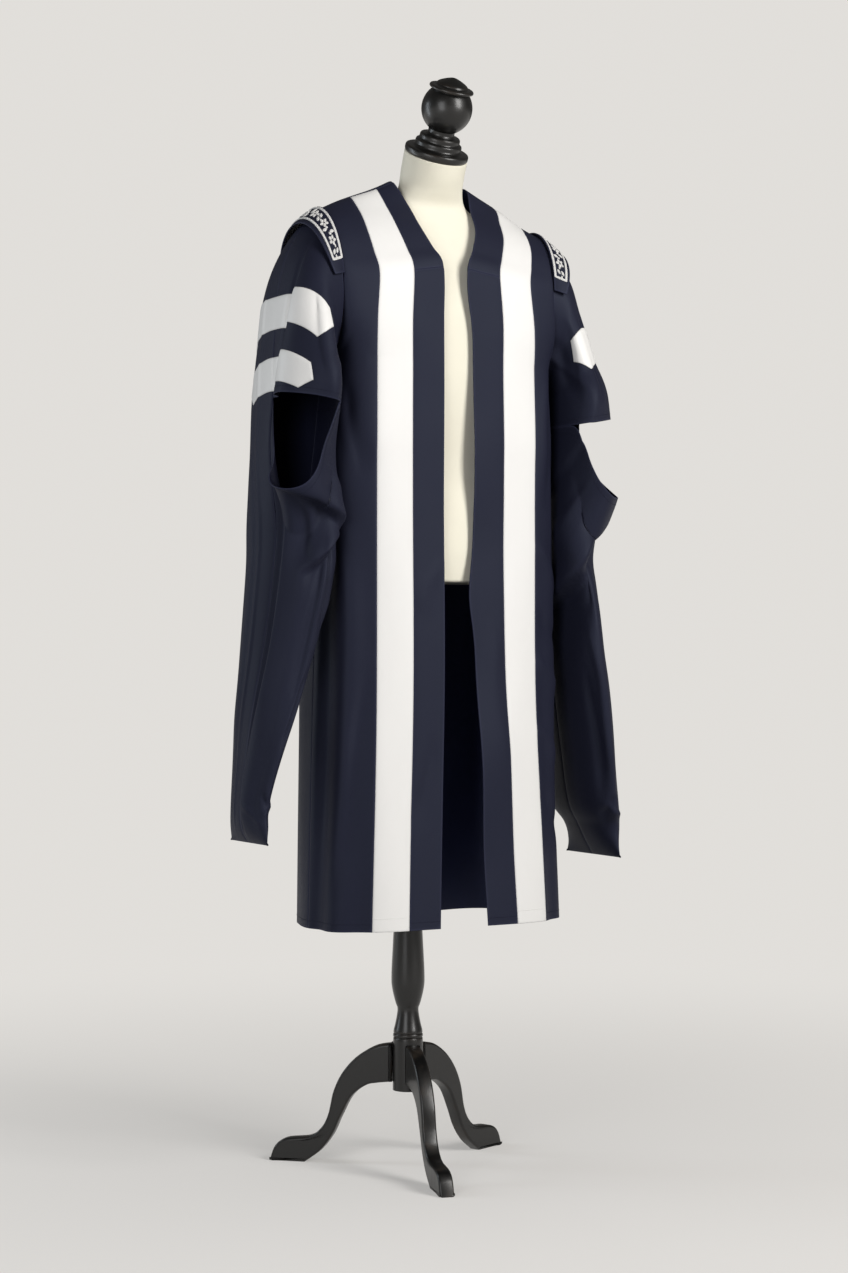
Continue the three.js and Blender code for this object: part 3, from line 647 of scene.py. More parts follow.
def wall_faces(rows, columns):
    """Quads of two grids of points as one closed wall, and how many of them are its first skin."""
    skin = grid_faces(rows, columns)
    count = rows * columns
    rim = np.concatenate(
        [
            np.arange(columns - 1),
            np.arange(rows - 1) * columns + columns - 1,
            (rows - 1) * columns + np.arange(columns - 1, 0, -1),
            np.arange(rows - 1, 0, -1) * columns,
        ]
    )
    ahead = np.roll(rim, -1)
    edge = np.stack([rim, rim + count, ahead + count, ahead], axis=-1)
    return np.concatenate([skin, skin[:, ::-1] + count, edge]), len(skin)


def signed_volume(points, faces):
    """Six times the volume inside the quads, positive where they face out."""
    a, b, c, d = (points[faces[:, k]] for k in range(4))
    return np.sum(a * np.cross(b, c)) + np.sum(a * np.cross(c, d))


def make_mesh(name, points, faces, materials, uv=None, indices=None, values=None):
    """A mesh object at the origin with smooth faces, a UV map in metres and point values."""
    mesh = bpy.data.meshes.new(name)
    mesh.from_pydata(np.asarray(points, float).tolist(), [], [list(f) for f in faces])
    mesh.polygons.foreach_set("use_smooth", np.ones(len(mesh.polygons), bool))
    for material in materials:
        mesh.materials.append(material)
    if indices is not None:
        mesh.polygons.foreach_set("material_index", np.asarray(indices, np.int32))
    if uv is not None:
        corner = np.zeros(len(mesh.loops), np.int32)
        mesh.loops.foreach_get("vertex_index", corner)
        layer = mesh.uv_layers.new(name="cloth")
        layer.data.foreach_set("uv", np.asarray(uv, float)[corner].ravel())
    for key, data in (values or {}).items():
        attribute = mesh.attributes.new(key, "FLOAT", "POINT")
        attribute.data.foreach_set("value", np.asarray(data, float).ravel())
    mesh.validate()
    mesh.update()
    piece = bpy.data.objects.new(name, mesh)
    bpy.context.scene.collection.objects.link(piece)
    return piece


def attach(piece, slot, *nodes):
    """Rides a piece on the one body and hides the solids that it stands for; its finish slot is not
    used.
    """
    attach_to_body(piece, "root")
    if nodes:
        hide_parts(*nodes)
    return piece


def shell(name, points, relief, inside, thick, materials, slot, node, seams=()):
    """A cloth wall: grid points moved out by the relief, a second skin inside, closed at the edge."""
    normal = outward(points, inside)
    outer = points + normal * (relief + seam_dip(points, seams))[..., None]
    normal = outward(outer, inside)
    inner = outer - normal * thick
    faces, skin = wall_faces(*points.shape[:2])
    both = np.concatenate([outer.reshape(-1, 3), inner.reshape(-1, 3)])
    if signed_volume(both, faces) < 0:
        faces = faces[:, ::-1]
    start, end, near, far = edge_lengths(outer)
    uv = np.stack([near, start], axis=-1).reshape(-1, 2) / 1000
    nearest = np.minimum(np.minimum(start, end), np.minimum(near, far)).ravel() / 1000
    indices = np.zeros(len(faces), int)
    indices[skin : 2 * skin] = 1
    values = {"rim": np.tile(nearest, 2)}
    uv = np.tile(uv, (2, 1))
    piece = make_mesh(name, to_metres(settled(both)), faces, materials, uv, indices, values)
    attach(piece, slot, *np.atleast_1d(node).tolist())
    declare_cut(outer)
    return outer, normal


def declare_cut(outer):
    """Walks the outer skin of a shell along its rows and columns and sums its area; nothing is kept or
    returned.
    """
    start, _, near, _ = edge_lengths(outer)
    a, b, c, d = outer[:-1, :-1], outer[1:, :-1], outer[1:, 1:], outer[:-1, 1:]
    area = np.linalg.norm(np.cross(c - a, d - b), axis=-1).sum() / 2e6


class Wire:
    """A shader socket with operators: an expression on wires adds its Math nodes to the tree."""

    def __init__(self, tree, socket):
        self.tree = tree
        self.socket = socket

    def math(self, operation, *values):
        return self.tree.node("ShaderNodeMath", {"operation": operation}, dict(enumerate(values)))

    def __add__(self, other):
        return self.math("ADD", self, other)

    __radd__ = __add__

    def __rsub__(self, other):
        return self.math("SUBTRACT", other, self)

    def __mul__(self, other):
        return self.math("MULTIPLY", self, other)

    def sin(self):
        return self.math("SINE", self)

    def abs(self):
        return self.math("ABSOLUTE", self)

    def rise(self, low, high):
        """From 0 to 1 as the value goes from low to high, eased at both ends."""
        settings = {"interpolation_type": "SMOOTHSTEP"}
        inputs = {"Value": self, "From Min": low, "From Max": high}
        return self.tree.node("ShaderNodeMapRange", settings, inputs)


class Tree:
    """A node tree whose added nodes all come from node()."""

    def __init__(self, owner):
        owner.use_nodes = True
        self.tree = owner.node_tree

    def node(self, kind, settings=None, inputs=None, output=0):
        made = self.tree.nodes.new(kind)
        for key, value in (settings or {}).items():
            setattr(made, key, value)
        for key, value in (inputs or {}).items():
            self.plug(made.inputs[key], value)
        return Wire(self, made.outputs[output])

    def plug(self, socket, value):
        if isinstance(value, Wire):
            self.tree.links.new(value.socket, socket)
        else:
            socket.default_value = value


class Shade(Tree):
    """A node material with one Principled shader."""

    def __init__(self, name, **constants):
        self.material = bpy.data.materials.new(name)
        super().__init__(self.material)
        self.output = self.tree.nodes["Material Output"]
        self.shader = self.tree.nodes["Principled BSDF"]
        self.feed(**constants)

    def feed(self, **values):
        for key, value in values.items():
            socket = key.replace("_", " ").title().replace("Ior", "IOR")
            self.plug(self.shader.inputs[socket], value)
        return self.material

    def object_at(self):
        return self.node("ShaderNodeTexCoord", output="Object")

    def cloth_at(self):
        uv = self.node("ShaderNodeUVMap", {"uv_map": "cloth"})
        u, v = (self.node("ShaderNodeSeparateXYZ", None, {0: uv}, axis) for axis in (0, 1))
        return uv, u, v

    def value(self, name):
        return self.node("ShaderNodeAttribute", {"attribute_name": name}, output="Fac")

    def noise(self, at, scale, detail=3.0, rough=0.5):
        inputs = {"Vector": at, "Scale": scale, "Detail": detail, "Roughness": rough}
        return self.node("ShaderNodeTexNoise", None, inputs)

    def stretch(self, at, scale):
        return self.node("ShaderNodeMapping", None, {"Vector": at, "Scale": scale})

    def mix(self, factor, one, two):
        """A colour between two: the colour sockets of a Mix node are 6, 7 and output 2."""
        return self.node("ShaderNodeMix", {"data_type": "RGBA"}, {0: factor, 6: one, 7: two}, 2)

    def bump(self, height, strength, distance):
        inputs = {"Height": height, "Strength": strength, "Distance": distance}
        return self.node("ShaderNodeBump", None, inputs)


def shades(colour, dark, light):
    """Two colours about one: darker and lighter by the given factors."""
    return tuple((*(min(c * factor, 1) for c in colour), 1) for factor in (dark, light))


def navy_twill(name, colour):
    """Navy suiting twill: fine diagonal ribs, mottled dye, a faint sheen and a painted highlight along
    every edge.
    """
    shade = Shade(name, specular_ior_level=0.14, sheen_weight=0.004, sheen_roughness=0.4)
    shade.feed(sheen_tint=(0.55, 0.65, 1, 1), specular_tint=(0.72, 0.82, 1, 1))
    uv, u, v = shade.cloth_at()
    rib = ((u + v * 1.35) * 5200).sin() * 0.5 + 0.5
    slub = shade.noise(shade.stretch(uv, (900, 160, 1)), 1.0, 2.0)
    cloud = shade.noise(uv, 9.0, 4.0, 0.55)
    rim = shade.value("rim").rise(0.0, 0.004)
    dark, light = shades(colour, 0.78, 1.3)
    tone = cloud * 0.55 + slub * 0.3 + rib * 0.15
    # Painted highlight: within 4 mm of every edge the navy lightens up to 1.7 times, standing in for
    # the light caught along folded edges.
    edge_toned = shade.mix(rim, shades(colour, 1, 1.7)[1], shade.mix(tone, dark, light))
    height = rib * 0.5 + slub * 0.5
    return shade.feed(
        base_color=edge_toned,
        roughness=0.46 + cloud * 0.16,
        normal=shade.bump(height, 0.22, 0.0004),
    )


def blue_lining(name, colour):
    """Smooth blue lining inside the gown: close plain weave with a soft lustre."""
    shade = Shade(name, specular_ior_level=0.2, sheen_weight=0.03, sheen_roughness=0.4)
    uv, u, v = shade.cloth_at()
    weave = (u * 7000).sin() * (v * 7000).sin() * 0.5 + 0.5
    cloud = shade.noise(uv, 14.0, 4.0)
    dark, light = shades(colour, 0.8, 1.25)
    return shade.feed(
        base_color=shade.mix(cloud * 0.7 + weave * 0.3, dark, light),
        roughness=0.42 + cloud * 0.14,
        normal=shade.bump(weave * 0.5 + cloud * 0.5, 0.15, 0.0004),
    )


def white_satin(name, colour):
    """White satin: long floats down the piece, a soft streaked gloss, a faint cloudy tone and darker
    edges.
    """
    shade = Shade(name, specular_ior_level=0.45, sheen_weight=0.08, sheen_roughness=0.3)
    uv, u, v = shade.cloth_at()
    floats = shade.noise(shade.stretch(uv, (2600, 90, 1)), 1.0, 2.0)
    weft = (v * 6200).sin() * 0.5 + 0.5
    cloud = shade.noise(shade.stretch(uv, (18, 7, 1)), 1.0, 4.0, 0.6)
    rim = shade.value("rim").rise(0.0, 0.0035)
    dark, light = shades(colour, 0.93, 1.03)
    tone = cloud * 0.7 + floats * 0.3
    # Within 3.5 mm of every edge the satin darkens to 0.82 of its colour.
    edge_toned = shade.mix(rim, shades(colour, 0.82, 1)[0], shade.mix(tone, dark, light))
    return shade.feed(
        base_color=edge_toned,
        roughness=0.34 + floats * 0.14 + cloud * 0.1,
        normal=shade.bump(floats * 0.4 + weft * 0.15 + cloud * 0.45, 0.2, 0.0007),
    )


def white_braid(name, colour):
    """White braid and embroidery thread: slanted strands with shade between them."""
    shade = Shade(name, specular_ior_level=0.35, sheen_weight=0.12)
    uv, u, v = shade.cloth_at()
    strand = ((u + v * 0.9) * 5200).sin() * 0.5 + 0.5
    fuzz = shade.noise(uv, 700.0, 3.0)
    dark, light = shades(colour, 0.72, 1.04)
    return shade.feed(
        base_color=shade.mix(strand * 0.65 + fuzz * 0.35, dark, light),
        roughness=0.55 + fuzz * 0.2,
        normal=shade.bump(strand * 0.7 + fuzz * 0.3, 0.5, 0.0006),
    )


def cream_jersey(name, colour):
    """Cream stockinette over the form: rows of small loops in a cloudy, uneven tone."""
    shade = Shade(name, specular_ior_level=0.2, sheen_weight=0.22, sheen_roughness=0.5)
    uv, u, v = shade.cloth_at()
    wales = (u * 3900).sin().abs()
    loops = ((v + (u * 3900).sin() * 0.0003) * 5200).sin() * 0.5 + 0.5
    cloud = shade.noise(uv, 7.0, 4.0, 0.6)
    dark, light = shades(colour, 0.88, 1.06)
    return shade.feed(
        base_color=shade.mix(cloud * 0.75 + wales * loops * 0.25, dark, light),
        roughness=0.78 + cloud * 0.15,
        normal=shade.bump(wales * loops, 0.25, 0.0005),
    )


def black_wood(name, colour):
    """Black satin paint on turned wood: brushed grain, dust in the paint, brown where it rubs."""
    shade = Shade(name, specular_ior_level=0.38, coat_roughness=0.22)
    at = shade.object_at()
    grain = shade.noise(shade.stretch(at, (160, 160, 14)), 1.0, 4.0, 0.6)
    cloud = shade.noise(at, 26.0, 4.0, 0.6)
    speck = shade.noise(at, 900.0, 2.0).rise(0.66, 0.74)
    rub = shade.value("rub") * cloud.rise(0.42, 0.68)
    dark, light = shades(colour, 0.7, 1.5)
    paint = shade.mix(grain * 0.5 + cloud * 0.5, dark, light)
    paint = shade.mix(rub * 0.55, paint, (0.055, 0.036, 0.022, 1))
    return shade.feed(
        base_color=shade.mix(speck * 0.12, paint, (0.16, 0.15, 0.14, 1)),
        roughness=0.27 + grain * 0.12 + cloud * 0.1 + rub * 0.15,
        coat_weight=0.35 - rub * 0.3,
        normal=shade.bump(grain * 0.6 + speck * 0.4, 0.12, 0.0006),
    )


def colour_property(name, description, colour):
    """A colour setting."""
    return FloatVectorProperty(
        name=name, description=description, subtype="COLOR", size=3, default=colour, min=0, max=1
    )


class GownSettings(bpy.types.PropertyGroup):
    """Sizes and colours of the gown."""

    wall: FloatProperty(name="Cloth", description="Thickness of a wall", default=0.0016, unit="LENGTH")
    trim_wall: FloatProperty(
        name="Bars", description="Thickness of the bars", default=0.0009, unit="LENGTH"
    )
    hem_stitch: FloatProperty(
        name="Hem stitch", description="Stitch row above a hem", default=0.012, unit="LENGTH"
    )
    stitch: FloatProperty(
        name="Stitch", description="Length of one stitch", default=0.0026, unit="LENGTH"
    )
    navy: colour_property("Navy", "Outer cloth", (0.0140, 0.0150, 0.0290))
    lining: colour_property("Lining", "Cloth inside", (0.030, 0.038, 0.105))
    # Painted shade: the sleeves' inside is coloured darker than the outer navy, standing in for the
    # shade inside the sleeves and their slits.
    sleeve_lining: colour_property("Sleeve lining", "Cloth inside the sleeves", (0.006, 0.007, 0.018))
    satin: colour_property("Satin", "Stripes and bars", (0.86, 0.85, 0.83))
    braid: colour_property("Braid", "Braid and embroidery", (0.82, 0.81, 0.79))


class StandSettings(bpy.types.PropertyGroup):
    """Sizes and colours of the form and its stand."""

    sides: IntProperty(name="Sides", description="Faces round a turned piece", default=96, min=24)
    leg_round: FloatProperty(
        name="Leg edge", description="Rounding of a leg", default=0.004, unit="LENGTH"
    )
    jersey: colour_property("Jersey", "Form cover", (0.97, 0.915, 0.765))
    wood: colour_property("Wood", "Painted wood", (0.0032, 0.0029, 0.0026))


class StageSettings(bpy.types.PropertyGroup):
    """Floor, light and camera."""

    floor: colour_property("Floor", "Floor colour", (0.88, 0.862, 0.842))
    backdrop: colour_property("Backdrop", "Backdrop colour", (0.755, 0.735, 0.705))
    ambient: FloatProperty(name="Ambient", description="Light from all round", default=0.15)
    distance: FloatProperty(
        name="Distance", description="Camera to pole", default=4.025, unit="LENGTH"
    )
    height: FloatProperty(name="Height", description="Camera height", default=0.864, unit="LENGTH")
    turn: FloatProperty(name="Turn", description="Camera azimuth in degrees", default=-30.0)


# Materials: maker, name, settings and colour.
FINISHES = {
    "navy": (navy_twill, "navy_twill", "gown", "navy"),
    "lining": (blue_lining, "blue_lining", "gown", "lining"),
    "sleeve_lining": (blue_lining, "sleeve_lining", "gown", "sleeve_lining"),
    "satin": (white_satin, "white_satin", "gown", "satin"),
    "braid": (white_braid, "white_braid", "gown", "braid"),
    "jersey": (cream_jersey, "cream_jersey", "gown_stand", "jersey"),
    "wood": (black_wood, "black_wood", "gown_stand", "wood"),
}


class GownBuild:
    """What the operators share: the materials and the outer skins made so far."""

    made = {}
    paths = {}

    @classmethod
    def material(cls, key):
        if key not in cls.made:
            maker, name, settings, colour = FINISHES[key]
            cls.made[key] = maker(name, getattr(getattr(bpy.context.scene, settings), colour))
        return cls.made[key]

    @classmethod
    def materials(cls, outside, inside):
        return [cls.material(outside), cls.material(inside)]


def mirrored(points, side):
    """A half piece on the wearer's left, or its mirror image on the right."""
    return points * np.array([SIGN[side], 1, 1])


def front_edges(row, length):
    """Distances from the front edge to each seam of a front, for rows of the body table."""
    facing, stripe = row[:, 7], row[:, 8]
    return {"edge": 0 * length, "facing": facing, "stripe": facing + stripe, "side": length}


def front_grid(side, first, last, rows, low, high, places):
    """Points, distance across and row lengths of a front piece between two of its seams."""
    t = even_rows(first, last, rows)
    near = t[0] + (t[1] - t[0]) * END_ROW, t[-1] - (t[-1] - t[-2]) * END_ROW
    t = np.concatenate([t[:1], near[:1], t[1:-1], near[1:], t[-1:]])
    _, length = body_points(t, np.zeros(len(t)))
    seams = front_edges(between(BODIES[side], t), length)
    across = seams[low][:, None] + (seams[high] - seams[low])[:, None] * places
    points, _ = body_points(np.repeat(t[:, None], len(places), 1), across / length[:, None])
    return points, across, length[:, None]


def eased(points, across, length):
    """A front with the turn under the armpit softened: a blend toward its mean over nearby rows."""
    reach = np.arange(-14, 15)
    kernel = bell(reach, 0, 6.0)
    rows = np.clip(np.arange(len(points))[:, None] + reach, 0, len(points) - 1)
    mean = np.einsum("k,rkcd->rcd", kernel / kernel.sum(), points[rows])
    near = bell(points[..., 2], ARMPIT_Z, 75)
    weight = near * smooth(length - across, 0, 30) * smooth(across, TRIM_WIDTH, TRIM_WIDTH + 22)
    return points + (mean - points) * weight[..., None]


def left_sway(across, height):
    """How far the left front swings outward, with two places where its edge rolls in."""
    lower = LEFT_SWAY * smooth(1560 - height, 0, 200)
    rolls = sum(depth * bell(height, z, span) for depth, z, span in EDGE_ROLLS)
    rolls = rolls * (1 - smooth(across, 4, 56))
    return lower * (1 - smooth(across, TRIM_WIDTH, 230)) - rolls


class GOWN_OT_fronts(bpy.types.Operator):
    """Facings, collars, white stripes and front panels"""

    bl_idname = "gown.fronts"
    bl_label = "Fronts"

    def execute(self, context):
        wall = context.scene.gown.wall * 1000
        for name, (*span, places, seams, finish, slot) in FRONTS.items():
            for side in SIDES:
                points, across, length = front_grid(side, *span, edged(*places))
                if name == "front":
                    points = eased(points, across, length)
                node = f"{name}_{side}"
                materials = GownBuild.materials(finish, "lining")
                relief = body_relief(side, across, points[..., 2], length)
                placed = mirrored(points, side)
                if side == "left":
                    placed[..., 0] += left_sway(across, points[..., 2])
                GownBuild.paths[node] = shell(
                    f"{node}_cloth", placed, relief, BODY_MIDDLE, wall, materials, slot, node, seams
                )
        return {"FINISHED"}


class GOWN_OT_back(bpy.types.Operator):
    """Back panel from the neck and shoulder seams to the hem"""

    bl_idname = "gown.back"
    bl_label = "Back"

    def execute(self, context):
        wall = context.scene.gown.wall * 1000
        c = np.linspace(-1, 1, 129)
        c = np.concatenate([[-1, -0.994], c[1:-1], [0.994, 1]])
        part = np.abs(c)
        start_t = NECK_BACK + (SHOULDER - NECK_BACK) * np.minimum(part / NECK_SHARE, 1)
        start_share = np.clip((part - NECK_SHARE) / (1 - NECK_SHARE), 0, None)
        f = edged(26, 0.012)[:, None]
        yoke_t = start_t + (YOKE_ROW - start_t) * f
        yoke_share = start_share + (part - start_share) * f
        t = even_rows(YOKE_ROW, LAST_ROW, 130)[1:]
        t = np.concatenate([t[:-1], [t[-1] - 0.004], t[-1:]])
        t = np.concatenate([yoke_t, np.repeat(t[:, None], len(c), 1)])
        share = np.concatenate([yoke_share, np.repeat(part[None, :], len(t) - len(f), 0)])
        points, length = body_points(t, share)
        points = points * np.stack([np.sign(c) + (c == 0), c * 0 + 1, c * 0 + 1], axis=-1)[None]
        fall = np.clip(FLUTE_TOP - points[..., 2], 0, None) / (FLUTE_TOP - HEM_Z)
        flute = -fall * BACK_FLUTE * (1 - np.cos(4 * np.pi * share)) / 2
        across = share * length * np.sign(c)
        height = points[..., 2]
        hang = smooth(BACK_FOLD_TOP - height, 0, FOLD_FADE)
        soft = creases(across, height, BACK_FOLDS) + ripple(across, height, RIPPLE_SEEDS["back"])
        soft = soft * smooth((1 - share) * length, 0, SEAM_QUIET)
        materials = GownBuild.materials("navy", "lining")
        relief, seams = flute + hang * soft, ("near", "far", "start")
        GownBuild.paths["back"] = shell(
            "back_cloth", points, relief, BODY_MIDDLE, wall, materials, "navy_cloth", "back", seams
        )
        return {"FINISHED"}


class GOWN_OT_sleeves(bpy.types.Operator):
    """Upper fronts, hanging lower fronts and backs of both sleeves"""

    bl_idname = "gown.sleeves"
    bl_label = "Sleeves"

    def make(self, part, side, points, angles, seams, held, *nodes):
        """One cloth of a sleeve, its folds held flat where it is sewn to the armhole."""
        hem = float(row_at_height(side, SLIT_Z[side]))
        name = f"sleeve_{part}_{side}"
        GownBuild.paths[name] = shell(
            f"{name}_cloth",
            points,
            held * sleeve_relief(side, angles, points[..., 2]),
            ring_centre(side, hem),
            bpy.context.scene.gown.wall * 1000,
            # The sleeves' inner skin takes the darkened lining colour: painted shade inside the
            # sleeves.
            GownBuild.materials("navy", "sleeve_lining"),
            "navy_cloth",
            nodes,
            seams,
        )

    def execute(self, context):
        front = np.concatenate(
            [[0, 0.6], np.linspace(2, 34, 30), np.linspace(36, 178, 54), [179.4, 180]]
        )
        back = np.concatenate(
            [[180, 180.6], np.linspace(182, 322, 46), np.linspace(324, 358, 26), [359.4, 360]]
        )
        for side in SIDES:
            end = len(SLEEVES[side]) - 1
            hem = float(row_at_height(side, SLIT_Z[side]))

            t = np.concatenate([[0, 0.012], np.linspace(0, hem, 76)[1:-1], [hem - 0.01, hem]])
            t, angle = np.meshgrid(t, front, indexing="ij")
            points, held = upper_sleeve(side, t, angle), smooth(t, 0, SLEEVE_HELD)
            self.make("top", side, points, angle, ("near", "far"), held, f"sleeve_top_{side}")

            fall, angle = np.meshgrid(edged(130, 0.0015), front, indexing="ij")
            lip = lip_row(side, angle)
            points = lower_sleeve(side, lip + (end - lip) * fall, angle)
            self.make("low", side, points, angle, SEWN, 1.0, f"sleeve_low_{side}")

            t = np.concatenate([np.linspace(0, hem, 70), np.linspace(hem, end, 120)[1:]])
            t = np.concatenate([[0, 0.012], t[1:-1], [end - 0.01, end]])
            t, angle = np.meshgrid(t, back, indexing="ij")
            points, held = ring_point(side, t, angle), smooth(t, 0, SLEEVE_HELD)
            nodes = (f"sleeve_back_top_{side}", f"sleeve_back_low_{side}")
            self.make("back", side, points, angle, SEWN, held, *nodes)
        return {"FINISHED"}


class GOWN_OT_bars(bpy.types.Operator):
    """White pointed bars round the upper sleeves"""

    bl_idname = "gown.bars"
    bl_label = "Bars"

    def execute(self, context):
        wall = context.scene.gown.trim_wall * 1000
        materials = GownBuild.materials("satin", "satin")
        half = edged(11, 0.03)
        for side in SIDES:
            for name, (first, last, lean0, lean1, ends, mid) in BARS[side].items():
                places = np.concatenate([half * mid, mid + (1 - mid) * half[1:]])
                across, along = np.meshgrid(places, edged(150, 0.003) * 2 - 1, indexing="ij")
                angle = along * np.interp(across, [0, mid, 1], ends)
                lean = (angle / ends[0]) ** 2
                start = first + lean0 * lean
                t = start + (last + lean1 * lean - start) * across
                past = angle - crease_angle(upper_sleeve(side, t, angle)[..., 2])
                t = t + BAR_STEP * smooth(-past, -1.5, 3)
                base = upper_sleeve(side, t, angle)
                relief = sleeve_relief(side, angle, base[..., 2])
                inside = ring_centre(side, (first + last) / 2)
                cloth = base + outward(base, inside) * relief[..., None]
                node = f"bar_{name}_{side}"
                shell(
                    f"{node}_cloth",
                    cloth,
                    np.full(t.shape, BAR_LIFT + wall),
                    inside,
                    wall,
                    materials,
                    "white_satin",
                    node,
                    ("start", "end", "near", "far"),
                )
        return {"FINISHED"}


def wing_width(angle):
    """Width of the wing: a flattened cosine from its middle to its two ends."""
    share = np.cos(np.pi / 2 * np.clip(np.abs(angle) / WING_SWEEP, 0, 1)) ** 0.8
    return WING_END + (WING_MID - WING_END) * share


def wing_base(side, angle, v):
    """The wing runs out from just above the armhole, drooping at its ends."""
    cos, sin = np.cos(np.radians(angle)), np.sin(np.radians(angle))
    along = np.stack([np.full(angle.shape, SIGN[side] * 0.95), -0.3 * sin, -0.2 * cos], axis=-1)
    along = unit(along)
    none = np.zeros(angle.shape)
    fall = unit(ring_point(side, none + 0.6, angle) - ring_point(side, none, angle))
    along = unit(along + (fall - along) * (WING_DROOP - WING_DROOP_TURN * sin)[..., None])
    base = ring_point(side, none, angle, -WING_LIFT)
    return base + along * (wing_width(angle) * v)[..., None]


def wing_skin(side, angle, v, lift):
    """A point of the wing moved along its normal, the cross product of its two slopes."""
    out = wing_base(side, angle, v + 0.02) - wing_base(side, angle, v - 0.02)
    around = wing_base(side, angle + 1, v) - wing_base(side, angle - 1, v)
    normal = unit(np.cross(out, around))
    normal = normal * np.where(normal[..., 2:] < 0, -1, 1)
    crown = 1.2 * np.sin(np.pi * np.clip(v, 0, 1))
    return wing_base(side, angle, v) + normal * (lift + crown)[..., None]


class GOWN_OT_wings(bpy.types.Operator):
    """Stiff shoulder wings with their braid and embroidered leaf vine"""

    bl_idname = "gown.wings"
    bl_label = "Wings"

    def execute(self, context):
        for side in SIDES:
            self.wing(side)
        return {"FINISHED"}

    def wing(self, side):
        sweep = edged(96, 0.004) * 2 * WING_SWEEP - WING_SWEEP
        angle, v = np.meshgrid(sweep, edged(20, 0.03), indexing="ij")
        skins = [wing_skin(side, angle, v, np.full(angle.shape, lift)) for lift in WING_SKINS]
        points = (skins[0] + skins[1]) / 2
        inside = points.mean(axis=(0, 1)) - np.array([0, 0, 200])
        shell(
            f"wing_{side}_cloth",
            points,
            np.full(angle.shape, WING_WALL / 2),
            inside,
            WING_WALL,
            GownBuild.materials("navy", "navy"),
            "navy_cloth",
            f"wing_{side}",
            (),
        )
        self.braid(side)
        self.vine(side)

    def braid(self, side):
        """A flat braid: a half ellipse carried round the inner edge of the wing and back."""
        sweep = np.linspace(-BRAID_SWEEP, BRAID_SWEEP, 120)
        ends = np.linspace(BRAID_IN, BRAID_OUT, 14)[1:-1]
        turned = np.full(len(ends), BRAID_SWEEP)
        angle = np.concatenate([sweep, turned, sweep[::-1], -turned])
        none = np.zeros(len(sweep))
        v = np.concatenate([none + BRAID_IN, ends, none + BRAID_OUT, ends[::-1]])
        lift = np.full(angle.shape, WING_SKINS[0])
        path = wing_skin(side, angle, v, lift)
        up = wing_skin(side, angle, v, lift + 1) - path
        tangent = unit(np.roll(path, -1, axis=0) - np.roll(path, 1, axis=0))
        aside = np.cross(up, tangent)
        turn = np.linspace(0, 2 * np.pi, 12, endpoint=False)
        x, y = 2.1 * np.cos(turn), 0.3 + 0.95 * np.sin(turn)
        rings = path[:, None] + aside[:, None] * x[None, :, None] + up[:, None] * y[None, :, None]
        rows, columns = rings.shape[:2]
        faces = grid_faces(rows + 1, columns, True) % (rows * columns)
        flat = rings.reshape(-1, 3)
        if signed_volume(flat, faces) < 0:
            faces = faces[:, ::-1]
        uv = np.stack(np.broadcast_arrays(walk(path)[:, None], x[None, :]), axis=-1)
        uv = uv.reshape(-1, 2) / 1000
        thread = [GownBuild.material("braid")]
        piece = make_mesh(f"braid_{side}_cord", to_metres(settled(flat)), faces, thread, uv)
        attach(piece, "white_braid", f"braid_{side}")

    def vine(self, side):
        """Satin-stitched leaves and flowers along a waving stem, laid out in wing coordinates."""
        leaves = []
        for k in range(-7, 8):
            place = k * VINE_STEP
            if k % 2:
                tilt = 0.5 if k % 4 == 1 else -0.5
                leaves.append((place - 3, 1.0, 1.15 + tilt, 13.0, 3.3, 0.0))
                leaves.append((place + 3, -1.0, -1.95 + tilt, 13.0, 3.3, 0.0))
                leaves.append((place - 4, -2.0, 2.6 - tilt, 8.0, 2.3, 0.0))
                leaves.append((place + 4, 2.0, -0.5 - tilt, 8.0, 2.3, 0.0))
            else:
                for petal in range(5):
                    leaves.append((place, 0.0, 0.4 * k + petal * 2 * math.pi / 5, 9.2, 3.2, 1.3))
        data = np.array(leaves)
        s = np.linspace(0, 1, 11)[None, :, None]
        w = np.linspace(-1, 1, 7)[None, None, :]
        a, b, turn, size, wide, gap = (data[:, k, None, None] for k in range(6))
        taper = np.clip(np.abs(a) / VINE_REACH, 0, 1)
        size, wide = size * (1 - 0.42 * taper), wide * (1 - 0.3 * taper)
        run = gap + s * size + 0 * w
        off = w * wide * np.sin(np.pi * s) ** 0.75
        along = a + run * np.cos(turn) - off * np.sin(turn)
        across = b + run * np.sin(turn) + off * np.cos(turn)
        angle = along / WING_DEGREE_MM
        v = (BRAID_IN + BRAID_OUT) / 2 + across / wing_width(angle)
        crown = (1 - w**2) * np.sin(np.pi * s) ** 0.5
        lifts = [2.0 + 1.0 * crown, 1.4 + 0 * crown]
        skins = [wing_skin(side, angle, v, lift) for lift in lifts]
        count, rows, columns = angle.shape
        size = rows * columns
        one, _ = wall_faces(rows, columns)
        leaf = np.stack(skins, axis=1).reshape(count, 2 * size, 3)
        if signed_volume(leaf[0] - leaf[0].mean(axis=0), one) < 0:
            one = one[:, ::-1]
        faces = (one[None] + (np.arange(count) * 2 * size)[:, None, None]).reshape(-1, 4)
        uv = np.stack(np.broadcast_arrays(run, off), axis=-1).reshape(count, 1, size, 2)
        uv = np.repeat(uv, 2, axis=1).reshape(-1, 2) / 1000
        points = to_metres(settled(leaf.reshape(-1, 3)))
        thread = [GownBuild.material("braid")]
        attach(make_mesh(f"vine_{side}_thread", points, faces, thread, uv), "white_braid")


def along_line(places, walked, data):
    """Points or normals of a line at given distances along it."""
    return np.stack([np.interp(places, walked, data[:, k]) for k in range(3)], axis=-1)


